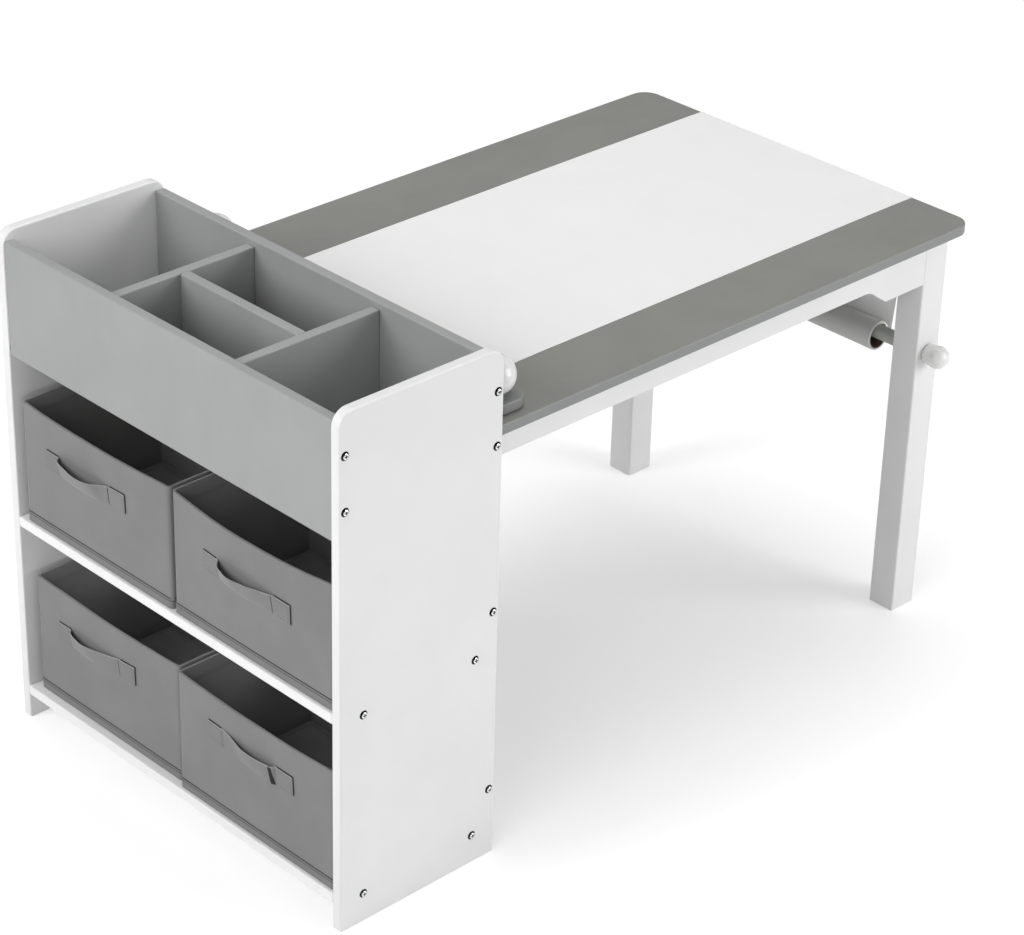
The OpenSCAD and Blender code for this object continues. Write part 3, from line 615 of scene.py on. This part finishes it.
def sewShell(low, high):
    b = binShape
    size = high - low
    inset = Vector((b["hemRaise"], b["hemRaise"], 0))
    piece = start(bpy.ops.mesh.primitive_cube_add, "binShell", size=1,
                  location=(low + high) / 2, scale=size - 2 * inset)
    edit(piece)
    pick("EDGE", lambda e: abs(e.verts[0].co.z - e.verts[1].co.z) > size.z / 2)
    bpy.ops.mesh.bevel(offset=b["corner"], segments=4, affect="EDGES")
    pick("FACE", lambda f: f.normal.z > 0.9)
    bpy.ops.mesh.delete(type="ONLY_FACE")
    hemTop = low.z + b["hemHeight"]
    foldLow = high.z - b["foldDepth"]
    for axis in (0, 1):
        # the cuts start clear of the rounded corners
        way = Vector((axis == 0, axis == 1, 0))
        first = low[axis] + b["corner"] + b["cornerClear"]
        room = size[axis] - 2 * (b["corner"] + b["cornerClear"])
        count = round(room / b["cell"])
        for step in range(count + 1):
            cut(way * (first + room * step / count), way)
    up = Vector((0, 0, 1))
    for foot, end in ((low.z, hemTop), (hemTop, foldLow), (foldLow, high.z)):
        count = max(1, round((end - foot) / b["cell"]))
        for step in range(1, count + 1):
            level = foot + (end - foot) * step / count
            if level < high.z - mm:
                cut(up * level, up)
    pick("FACE", lambda f: f.calc_center_median().z < hemTop and abs(f.normal.z) < 0.5)
    bpy.ops.mesh.extrude_region_shrink_fatten(
        TRANSFORM_OT_shrink_fatten={"value": b["hemRaise"]})
    done()
    finishWith(piece, "SOLIDIFY", thickness=b["wall"], offset=-1, use_even_offset=True)
    middle = (low + high) / 2

    def innerFold(face):
        at = face.calc_center_median()
        inward = (middle - at).dot(face.normal) > 0
        return at.z > foldLow and abs(face.normal.z) < 0.5 and inward
    edit(piece)
    pick("FACE", innerFold)
    bpy.ops.mesh.extrude_region_shrink_fatten(
        TRANSFORM_OT_shrink_fatten={"value": b["foldRaise"]})
    done()
    finishWith(piece, "BEVEL", width=b["foldRound"], segments=2, limit_method="ANGLE",
               angle_limit=math.radians(50))
    clean(piece)
    clothMap(piece)
    smooth(piece)
    return piece


def binMove(p, low, high, stand):
    # how far a point of the shell moves when the bin is in use
    g = binGive
    middle, half = (low + high) / 2, (high - low) / 2
    u = (p.y - middle.y) / half.y
    w = (p.x - middle.x) / half.x
    h = (p.z - low.z) / (high.z - low.z)
    edge = g["edge"]
    front = 1 - ease(p.x, low.x + edge / 2, low.x + edge)
    back = ease(p.x, high.x - edge, high.x - edge / 2)
    near = 1 - ease(p.y, low.y + edge / 2, low.y + edge)
    far = ease(p.y, high.y - edge, high.y - edge / 2)
    bow = max(0, 1 - abs(u) ** g["fullness"]) * math.sin(math.pi / 2 * h) ** g["frontRise"]
    sideBow = max(0, 1 - abs(w) ** g["fullness"]) * h ** g["sideRise"]
    many = g["ripples"]
    where = Vector((p.x * many, p.y * many, p.z * many + stand["seed"]))
    ripple = noise.noise(where) + g["fineShare"] * noise.noise(where * g["fineRipples"])
    dent = ripple * stand["dent"] * mm * ease(h, *g["footFade"])
    shift = Vector((0, 0, 0))
    shift.x -= front * (bow * stand["bow"] * mm + dent * ease(1 - abs(u), *g["cornerFade"]))
    shift.x -= back * (g["backBow"] * bow + abs(dent) * g["backDent"])
    shift.y += (far - near) * stand["sides"] * mm * sideBow * (far if stand["sides"] > 0 else 1)
    shift.y -= (far - near) * abs(dent) * g["sideDent"] * ease(1 - abs(w), *g["cornerFade"])
    droop = max(0, 1 - abs(u) ** 2) * stand["sag"]
    down = front * droop + back * droop * g["backDroop"] + g["sideDroop"] * (near + far)
    shift.z -= down * mm * h ** 3
    return shift


binLow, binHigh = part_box("bin_upper_near")
shell = sewShell(binLow, binHigh)
bins = {}
for key, stand in binStands.items():
    low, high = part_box("bin_" + key)
    piece = copyPiece(shell, "binBody_" + key, low - binLow)
    outer = binShape["outerSide"]

    def hemHeight(p):
        # the inside of the bin gets no hem lines
        inside = low.x + outer < p.x < high.x - outer and low.y + outer < p.y < high.y - outer
        return 1.0 if inside else p.z - low.z
    mark(piece, "hemHeight", hemHeight)
    for point in piece.data.vertices:
        point.co += binMove(point.co, low, high, stand)
    dress(piece, binCloth, "bin_" + key, "bin_fabric", "bin_" + key)
    bins[key] = (low, high, stand)
bpy.data.objects.remove(shell)
print("bins sewn:", len(bins))


# stitches

stitchShape = {"length": 3.2 * mm, "pitch": 4.8 * mm, "thick": 0.6 * mm, "hemStep": 8 * mm}
seed = start(bpy.ops.mesh.primitive_uv_sphere_add, "stitchSeed", segments=6, ring_count=4,
             radius=0.5, scale=[stitchShape[key] for key in ("thick", "length", "thick")])


def sewRow(name, rows):
    # rows of stitches, each row a list of points on the cloth
    s = stitchShape
    shape = bmesh.new()
    for points in rows:
        left = 0.0
        for a, b in zip(points, points[1:]):
            run = b - a
            length = run.length
            if length < 1e-6:
                continue
            way = run / length
            turn = Vector((0, 1, 0)).rotation_difference(way)
            at = left
            while at < length:
                first = len(shape.verts)
                shape.from_mesh(seed.data)
                shape.verts.ensure_lookup_table()
                for point in shape.verts[first:]:
                    point.co = turn @ point.co + a + way * at
                at += s["pitch"]
            left = at - length
    mesh = bpy.data.meshes.new(name)
    shape.to_mesh(mesh)
    shape.free()
    piece = bpy.data.objects.new(name, mesh)
    bpy.context.scene.collection.objects.link(piece)
    for face in mesh.polygons:
        face.use_smooth = True
    return piece


def hemLine(low, high, stand, drop):
    # a closed line round the bin at the given depth under the hem's top
    z = low.z + binShape["hemHeight"] - drop
    r = binShape["corner"]
    points = []
    for cx, cy, first in ((high.x - r, high.y - r, 0), (low.x + r, high.y - r, 90),
                          (low.x + r, low.y + r, 180), (high.x - r, low.y + r, 270)):
        for turn in (0, 30, 60, 90):
            a = math.radians(first + turn)
            points.append(Vector((cx + r * math.cos(a), cy + r * math.sin(a), z)))
    points.append(points[0].copy())
    fine = []
    for a, b in zip(points, points[1:]):
        count = max(1, round((b - a).length / stitchShape["hemStep"]))
        fine += [a.lerp(b, n / count) for n in range(count)]
    fine.append(fine[0].copy())
    return [p + binMove(p, low, high, stand) for p in fine]


# straps

strapShape = {
    "patchLong": 25 * mm,
    "patchHigh": 22.5 * mm,
    "patchThick": 0.8 * mm,
    "shadowSheetThick": 1.25 * mm,
    "shadowSheetIn": 0.3 * mm,
    "shadowSheetOver": 0.9 * mm,
    "shadowSheetExtra": 0.25 * mm,
    "shadowSheetSink": 0.2 * mm,
    "shadowSheetEdge": 0.1 * mm,
    "bandHigh": 21.5 * mm,
    "bandThick": 1.0 * mm,
    "bandLift": 0.4 * mm,
    "overlap": 6 * mm,
    "edge": 0.3 * mm,
    "flat": 1.3 * mm,
    "hug": 0.12,
    "hugRise": 0.8,
    "stiffFade": (0.08, 0.4),
    "sag": 2.5 * mm,
    "sagRise": 1.3,
    "seamIn": 2.4 * mm,
    "seamDeep": 0.3 * mm,
    "seamWide": 0.5 * mm,
    "puff": 0.4 * mm,
    "puffIn": 1.8 * mm,
    "flapLong": 4 * mm,
    "flapDeep": 0.8 * mm,
    "creaseOff": 0.9 * mm,
    "creaseFade": 0.5 * mm,
    "highlightFrom": (0.47, 0.495),
    "edgeHighlight": 0.8,
}
# each strap's place on its bin, in mm, its slope, the painted shade in the fold beside the near
# patch (its width and darkness) with the lean of that edge, and how far its loop stands off, from
# the near patch (0) to the far one (1)
strapStands = {
    "upper_near": {
        "lift": -8, "shift": 3, "tilt": 0.030, "foldShade": (0.9, 0.7), "slant": 2,
        "bow": ((-0.04, 1.3), (0.013, 2.2), (0.11, 4.3), (0.237, 6.7), (0.36, 9.4), (0.48, 11.4),
                (0.59, 13.4), (0.675, 14.4), (0.73, 14.0), (0.79, 12.7), (0.875, 11.2),
                (0.93, 8.8), (0.97, 5.0), (1.02, 1.6), (1.06, 1.3))},
    "upper_far": {
        "lift": 0.3, "shift": 2, "tilt": -0.020, "foldShade": (0.9, 0.9), "slant": 1,
        "bow": ((-0.04, 1.3), (0.01, 2.0), (0.077, 3.5), (0.14, 5.8), (0.193, 8.9),
                (0.267, 12.4), (0.394, 14.2), (0.506, 14.6), (0.6, 14.0), (0.706, 12.7),
                (0.835, 10.9), (0.95, 8.8), (0.985, 6.5), (1.01, 3.2), (1.04, 1.3))},
    "lower_near": {
        "lift": 5.0, "shift": 3, "tilt": 0.026, "foldShade": (4.2, 1.0), "slant": 4.3,
        "stiff": 0.85,
        "bow": ((-0.02, 1.3), (0.01, 2.2), (0.045, 5.0), (0.07, 5.8), (0.128, 6.5),
                (0.277, 7.5), (0.44, 7.9), (0.58, 7.5), (0.73, 4.9), (0.925, 1.9), (1.0, 1.3))},
    "lower_far": {
        "lift": 0.3, "shift": 6, "tilt": -0.041, "foldShade": (0.9, 0.7), "slant": 2,
        "bow": ((-0.02, 1.3), (0.044, 1.9), (0.13, 3.4), (0.25, 4.9), (0.406, 6.9),
                (0.536, 9.2), (0.68, 10.7), (0.817, 9.9), (0.93, 8.2), (0.98, 6.0),
                (1.02, 2.8), (1.05, 1.3))},
}


def along(points, u):
    # a smooth curve through the points, which doesn't overshoot and is flat beyond the ends
    if u <= points[0][0] or u >= points[-1][0]:
        return points[0][1] if u <= points[0][0] else points[-1][1]
    slopes = [(v1 - v0) / (u1 - u0) for (u0, v0), (u1, v1) in zip(points, points[1:])]
    turns = [0.0] + [2 * a * b / (a + b) if a * b > 0 else 0.0
                     for a, b in zip(slopes, slopes[1:])] + [0.0]
    n = max(n for n in range(len(slopes)) if points[n][0] <= u)
    (u0, v0), (u1, v1) = points[n], points[n + 1]
    step = u1 - u0
    t = (u - u0) / step
    return (v0 * (1 + 2 * t) * (1 - t) ** 2 + v1 * t * t * (3 - 2 * t)
            + step * t * (1 - t) * (turns[n] * (1 - t) - turns[n + 1] * t))


def thicken(piece, thick, edge):
    # a flat piece of cloth gets its thickness, on its outer side, and soft edges
    finishWith(piece, "SOLIDIFY", thickness=thick, offset=1)
    faceOut(piece)
    finishWith(piece, "BEVEL", width=edge, segments=2, limit_method="ANGLE",
               angle_limit=math.radians(50))
    clothMap(piece)
    smooth(piece)


def clothGrid(name, across, up, point):
    # a grid of cloth or paper, each point placed by two shares: -0.5 to 0.5 up and 0 to 1 across
    piece = start(bpy.ops.mesh.primitive_grid_add, name, x_subdivisions=up,
                  y_subdivisions=across, size=1)
    for corner in piece.data.vertices:
        corner.co = point(corner.co.x, corner.co.y + 0.5)
    return piece


def sewStrap(key, low, high, stand):
    s, own = strapShape, strapStands[key]
    strapLow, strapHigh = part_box("handle_" + key)
    y0, y1 = strapLow.y + own["shift"] * mm, strapHigh.y + own["shift"] * mm
    mid = (strapLow.z + strapHigh.z) / 2 + own["lift"] * mm
    loopLow, loopHigh = y0 + s["patchLong"], y1 - s["patchLong"]
    bandLow, bandHigh = loopLow - s["overlap"], loopHigh + s["overlap"]
    slant = own["slant"] * mm

    def place(y, z, off):
        lean = z + own["tilt"] * (y - (y0 + y1) / 2)
        wall = Vector((low.x + binShape["hemRaise"], y, lean))
        return Vector(((wall + binMove(wall, low, high, stand)).x - off, y, lean))

    def level(p):
        # a point's height over the strap's sloping middle line
        return p.z - own["tilt"] * (p.y - (y0 + y1) / 2) - mid

    def droop(y):
        u = min(1, max(0, (y - loopLow) / (loopHigh - loopLow)))
        return s["sag"] * math.sin(math.pi * u) ** s["sagRise"]

    def loopOff(y, a):
        # the lower edge of the loop stays near the bin
        u = (y - loopLow) / (loopHigh - loopLow)
        hug = max(s["hug"], own.get("stiff", 0) * (1 - ease(u, *s["stiffFade"])))
        lean = hug + (1 - hug) * (a + 0.5) ** s["hugRise"]
        return (along(own["bow"], u) * mm - s["flat"]) * lean

    def bandPoint(a, t):
        y = bandLow + (bandHigh - bandLow) * t
        z = mid + a * s["bandHigh"] + s["bandLift"] - droop(y)
        return place(y, z, s["flat"] - s["bandThick"] + loopOff(y, a))

    band = clothGrid("strapBand_" + key, 200, 10, bandPoint)
    thicken(band, s["bandThick"], s["edge"])
    wide, dark = own["foldShade"]
    halfFold = wide / 2 * mm
    foldAt = loopLow + halfFold + s["creaseOff"]

    # painted shade in the fold beside the near patch, darkest in its middle
    def creaseShade(p):
        away = abs(p.y - foldAt - slant * (level(p) / s["patchHigh"] + 0.5))
        return dark * (1 - ease(away, halfFold, halfFold + s["creaseFade"]))

    # painted highlight along the top edges of the band and the patches
    def edgeHighlight(a):
        return s["edgeHighlight"] * ease(a, *s["highlightFrom"])

    def bandHighlight(p):
        return edgeHighlight((level(p) - s["bandLift"] + droop(p.y)) / s["bandHigh"])

    def patchHighlight(p):
        return edgeHighlight(level(p) / s["patchHigh"])
    mark(band, "creaseShade", creaseShade)
    mark(band, "topEdgeHighlight", bandHighlight)
    dress(band, strapCloth, "bin_" + key, "strap_fabric", "handle_" + key)

    rows = []
    for side, patchLow in (("near", y0), ("far", loopHigh)):
        def patchPoint(a, t, rise=0.0):
            y = patchLow + t * s["patchLong"]
            if side == "near":
                y += t * slant * (a + 0.5)
            rim = min((0.5 - abs(a)) * s["patchHigh"], (0.5 - abs(t - 0.5)) * s["patchLong"])
            puff = ease(rim, 0, s["puffIn"]) * s["puff"]
            seam = -s["seamDeep"] * math.exp(-((rim - s["seamIn"]) / s["seamWide"]) ** 2)
            flap = 0.0
            if side == "far":
                pressed = 1 - ease(y, patchLow, patchLow + s["flapLong"])
                flap = loopOff(y, a) - s["flapDeep"] * pressed
            return place(y, mid + a * s["patchHigh"], s["shadowSheetThick"] + puff + seam + flap + rise)

        # a near-black sheet under each patch: painted shadow in the gap under its rim, reaching
        # above the patch's top as a painted shadow line on the wall
        def rimShadowPoint(a, t):
            first = patchLow + (s["flapLong"] if side == "far" else s["shadowSheetIn"])
            y = first + t * (patchLow + s["patchLong"] - s["shadowSheetIn"] - first)
            z = mid + a * (s["patchHigh"] - 2 * s["shadowSheetIn"]) + (s["shadowSheetOver"] if a > 0.49 else 0)
            return place(y, z, -s["shadowSheetSink"])

        patch = clothGrid("strapPatch_" + key + "_" + side, 26, 24, patchPoint)
        thicken(patch, s["patchThick"], s["edge"])
        mark(patch, "topEdgeHighlight", patchHighlight)
        dress(patch, strapCloth, "bin_" + key, "strap_fabric", "handle_" + key)
        under = clothGrid("strapRimShadow_" + key + "_" + side, 10, 8, rimShadowPoint)
        thicken(under, s["shadowSheetThick"] + s["shadowSheetExtra"], s["shadowSheetEdge"])
        dress(under, rimShadowCloth, "bin_" + key, "strap_fabric", "handle_" + key)

        a0 = 0.5 - s["seamIn"] / s["patchHigh"]
        t0 = s["seamIn"] / s["patchLong"]
        corners = [(-a0, t0), (a0, t0), (a0, 1 - t0), (-a0, 1 - t0), (-a0, t0)]
        line = []
        for (a, t), (c, d) in zip(corners, corners[1:]):
            line += [patchPoint(a + (c - a) * n / 8, t + (d - t) * n / 8, s["patchThick"])
                     for n in range(8)]
        rows.append(line + [line[0].copy()])
    rows.append(hemLine(low, high, stand, binShape["hemHeight"] - hemShadeAndStitchLines[1]))
    stitches = sewRow("stitches_" + key, rows)
    dress(stitches, thread, "bin_" + key, "strap_fabric")


for key, place in bins.items():
    sewStrap(key, *place)
bpy.data.objects.remove(seed)
print("straps and stitches sewn")


# loose base boards in the bins

baseShape = {"inset": 1.3 * mm, "corner": 3 * mm, "edge": 0.25 * mm, "seamIn": 7 * mm,
             "seamDeep": 0.5 * mm, "seamFall": 0.7 * mm, "seamRise": 0.9 * mm}


def coverBase(key):
    s = baseShape
    low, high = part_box("base_" + key)
    shrink = Vector((s["inset"], s["inset"], 0))
    piece = start(bpy.ops.mesh.primitive_cube_add, "baseBoard_" + key, size=1,
                  location=(low + high) / 2, scale=high - low - 2 * shrink)
    edit(piece)
    pick("FACE", lambda f: f.normal.z > 0.9)
    bpy.ops.mesh.inset(thickness=s["seamIn"] - s["seamFall"])
    bpy.ops.mesh.inset(thickness=s["seamFall"], depth=-s["seamDeep"])
    bpy.ops.mesh.inset(thickness=s["seamRise"], depth=s["seamDeep"])
    pick("EDGE", lambda e: abs(e.verts[0].co.z - e.verts[1].co.z) > 1 * mm)
    bpy.ops.mesh.bevel(offset=s["corner"], segments=4, affect="EDGES")
    done()
    finishWith(piece, "BEVEL", width=s["edge"], segments=2, limit_method="ANGLE",
               angle_limit=math.radians(60))
    clean(piece)
    clothMap(piece)
    smooth(piece)
    dress(piece, boardCloth, "bin_" + key, "base_card", "base_" + key)


for key in bins:
    coverBase(key)
print("base boards covered")


# paper: the sheet and the roll

sheetShape = {
    "thick": 0.4 * mm,
    "across": 60,
    "topSteps": 150,
    "hangSteps": 34,
    "edge": 1.5 * mm,
    "roundEnd": 5 * mm,
    "rollGap": 0.3 * mm,
    "hangBend": 0.6 * mm,
    "waves": 0.35 * mm,
    "waveBase": 0.35,
    "sideWide": 40 * mm,
    "clampFade": (10 * mm, 90 * mm),
    "endFade": (40 * mm, 8 * mm),
    "hangFade": (470 * mm, 500 * mm),
    "hangWaves": 0.5 * mm,
    "hangTop": 490 * mm,
    "hangLong": 150 * mm,
    "curl": 1.6 * mm,
}


def sheetRoute():
    # the middle line of the sheet, from under the clamp over the table's end to the roll
    low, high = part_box("paper_sheet")
    topLow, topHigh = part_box("tabletop")
    rollLow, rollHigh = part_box("paper_roll")
    t = sheetShape["thick"] / 2
    edge = sheetShape["edge"]
    endX, topZ, underZ = topHigh.x, topHigh.z, topLow.z
    points = []
    steps = sheetShape["topSteps"]
    for n in range(steps + 1):
        points.append((low.x + (endX - edge - low.x) * n / steps, topZ + t, 0, 1))
    for a in (75, 60, 45, 30, 15, 0):
        r = edge + t
        c, s = math.cos(math.radians(a)), math.sin(math.radians(a))
        points.append((endX - edge + r * c, topZ - edge + r * s, c, s))
    rollX, rollZ = (rollLow.x + rollHigh.x) / 2, (rollLow.z + rollHigh.z) / 2
    webR = (rollHigh.z - rollLow.z) / 2 + sheetShape["rollGap"] + t
    dx, dz = endX + t - rollX, underZ + edge - rollZ
    angle = math.atan2(dz, dx) - math.acos(webR / math.hypot(dx, dz))
    startX, startZ = endX + t, underZ + edge
    last = (rollX + webR * math.cos(angle), rollZ + webR * math.sin(angle))
    points.append((startX, topZ - sheetShape["roundEnd"], 1, 0))
    steps = sheetShape["hangSteps"]
    for n in range(steps + 1):
        k = n / steps
        bend = math.sin(math.pi * k) * sheetShape["hangBend"]
        points.append((startX + (last[0] - startX) * k + bend,
                       startZ + (last[1] - startZ) * k, math.cos(angle), math.sin(angle)))
    return points, low, high


def layPaper():
    s = sheetShape
    route, low, high = sheetRoute()
    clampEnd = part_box("clamp_bar")[1].x
    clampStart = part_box("clamp_bar")[0].x
    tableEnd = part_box("tabletop")[1].x

    def sheetPoint(a, t):
        x, z, nx, nz = route[round((a + 0.5) * (len(route) - 1))]
        y = low.y + (high.y - low.y) * t
        # slight waves on the top, fuller at the sides, and none at the clamp and the table's end
        free = ease(x, clampEnd + s["clampFade"][0], clampEnd + s["clampFade"][1])
        free *= 1 - ease(x, tableEnd - s["endFade"][0], tableEnd - s["endFade"][1])
        wave = noise.noise(Vector((x * 9, y * 6, 2.5))) * 0.5 + 0.5
        side = max(0, 1 - min(y - low.y, high.y - y) / s["sideWide"])
        rise = s["waves"] * wave * free * (s["waveBase"] + side)
        # the hanging part waves most halfway down
        hang = 1 - ease(z, *s["hangFade"])
        down = min(1, max(0, (s["hangTop"] - z) / s["hangLong"]))
        ripple = noise.noise(Vector((y * 7, z * 9, 8.1)))
        rise += hang * s["hangWaves"] * ripple * math.sin(math.pi * down)
        if x < clampStart:
            rise += s["curl"] * ((clampStart - x) / (clampStart - low.x)) ** 2
        return Vector((x + nx * rise, y, z + nz * rise))

    sheet = clothGrid("drawingSheet", s["across"], len(route) - 1, sheetPoint)
    finishWith(sheet, "SOLIDIFY", thickness=s["thick"] * 0.9, offset=0)
    smooth(sheet)
    dress(sheet, paper, "frame", "paper", "paper_sheet")


rollShape = {"turns": 5, "steps": 72, "across": 6, "leaf": 0.24 * mm, "coreGap": 0.02 * mm,
             "firstTurn": 2.4, "slip": 0.25 * mm, "endGap": 0.4 * mm}


def windRoll():
    # the paper left on the core, wound as one long strip
    s = rollShape
    low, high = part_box("paper_roll")
    coreLow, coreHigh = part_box("paper_core")
    x, z = (low.x + high.x) / 2, (low.z + high.z) / 2
    inner = (coreHigh.z - coreLow.z) / 2 + s["leaf"] / 2 + s["coreGap"]
    outer = (high.z - low.z) / 2 - s["leaf"] / 2

    def leafPoint(a, t):
        share = a + 0.5
        turn = share * s["turns"]
        r = inner + (outer - inner) * min(1, share)
        angle = 2 * math.pi * turn + s["firstTurn"]
        slip = s["slip"] * noise.noise(Vector((turn * 1.7, 0, 4)))
        y = low.y + s["endGap"] + (high.y - low.y - 2 * s["endGap"]) * t + slip
        return Vector((x + r * math.cos(angle), y, z + r * math.sin(angle)))

    roll = clothGrid("paperRoll", s["across"], s["turns"] * s["steps"], leafPoint)
    finishWith(roll, "SOLIDIFY", thickness=s["leaf"], offset=0)
    faceOut(roll)
    smooth(roll)
    dress(roll, shadedRollPaper, "roll", "paper", "paper_roll")


layPaper()
windRoll()
print("paper laid and wound")


# turned knobs

knobShape = {
    "neck": 12 * mm,
    "flare": 0.6 * mm,
    "joinTurn": 3,
    "turnSteps": 56,
    "smoothTo": 50,
    # the foot of the dowel's knob: how far inside the neck, and how high
    "foot": ((1.8 * mm, 0.0), (1.6 * mm, 0.9 * mm), (0.4 * mm, 1.1 * mm), (0.0, 1.6 * mm)),
}


def turnKnob(name, profile, origin, axis):
    # profile: (radius, height) points from the foot to the tip, spun round the axis
    piece = start(bpy.ops.mesh.primitive_plane_add, name, size=1 * mm)
    mesh = piece.data
    mesh.clear_geometry()
    mesh.from_pydata([(r, 0, h) for r, h in profile],
                     [(n, n + 1) for n in range(len(profile) - 1)], [])
    edit(piece)
    bpy.ops.mesh.select_all(action="SELECT")
    bpy.ops.mesh.spin(steps=knobShape["turnSteps"], angle=2 * math.pi, center=(0, 0, 0),
                      axis=(0, 0, 1))
    bpy.ops.mesh.select_all(action="SELECT")
    bpy.ops.mesh.remove_doubles(threshold=0.01 * mm)
    bpy.ops.mesh.normals_make_consistent(inside=False)
    done()
    turn = Vector((0, 0, 1)).rotation_difference(Vector(axis))
    for point in mesh.vertices:
        point.co = turn @ point.co + Vector(origin)
    mesh.update()
    smooth(piece, knobShape["smoothTo"])
    return piece


def ballArc(radius, middle, first, last, steps):
    return [(radius * math.sin(math.radians(a)), middle - radius * math.cos(math.radians(a)))
            for a in (first + (last - first) * n / steps for n in range(steps + 1))]


for side, way in (("near", -1), ("far", 1)):
    low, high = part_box("roll_knob_" + side)
    reach = high.y - low.y
    radius = (high.z - low.z) / 2
    neck = knobShape["neck"]
    throat = neck + knobShape["flare"]
    foot = (low.x + high.x) / 2, (high.y if way < 0 else low.y), (low.z + high.z) / 2
    ballMiddle = reach - radius
    join = math.degrees(math.asin(throat / radius)) + knobShape["joinTurn"]
    profile = [(0, 0.0)] + [(neck - inside, height) for inside, height in knobShape["foot"]]
    profile += [(throat, ballMiddle * 0.5)] + ballArc(radius, ballMiddle, join, 180, 22)
    profile[-1] = (0, reach)
    knob = turnKnob("dowelKnob_" + side, profile, foot, (0, way, 0))
    dress(knob, knobGloss, "rod", "white_knob", "roll_knob_" + side)

    low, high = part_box("clamp_knob_" + side)
    radius = (high.x - low.x) / 2
    reach = high.z - low.z
    middle = reach - radius
    flat = math.degrees(math.acos(middle / radius))
    profile = [(0, 0.0)] + ballArc(radius, middle, flat, 180, 30)
    profile[-1] = (0, reach)
    knob = turnKnob("clampKnob_" + side, profile,
                    ((low.x + high.x) / 2, (low.y + high.y) / 2, low.z), (0, 0, 1))
    dress(knob, knobGloss, "clamp_knob_" + side, "white_knob", "clamp_knob_" + side)
print("knobs turned")


# the scene is built

print("scene built")
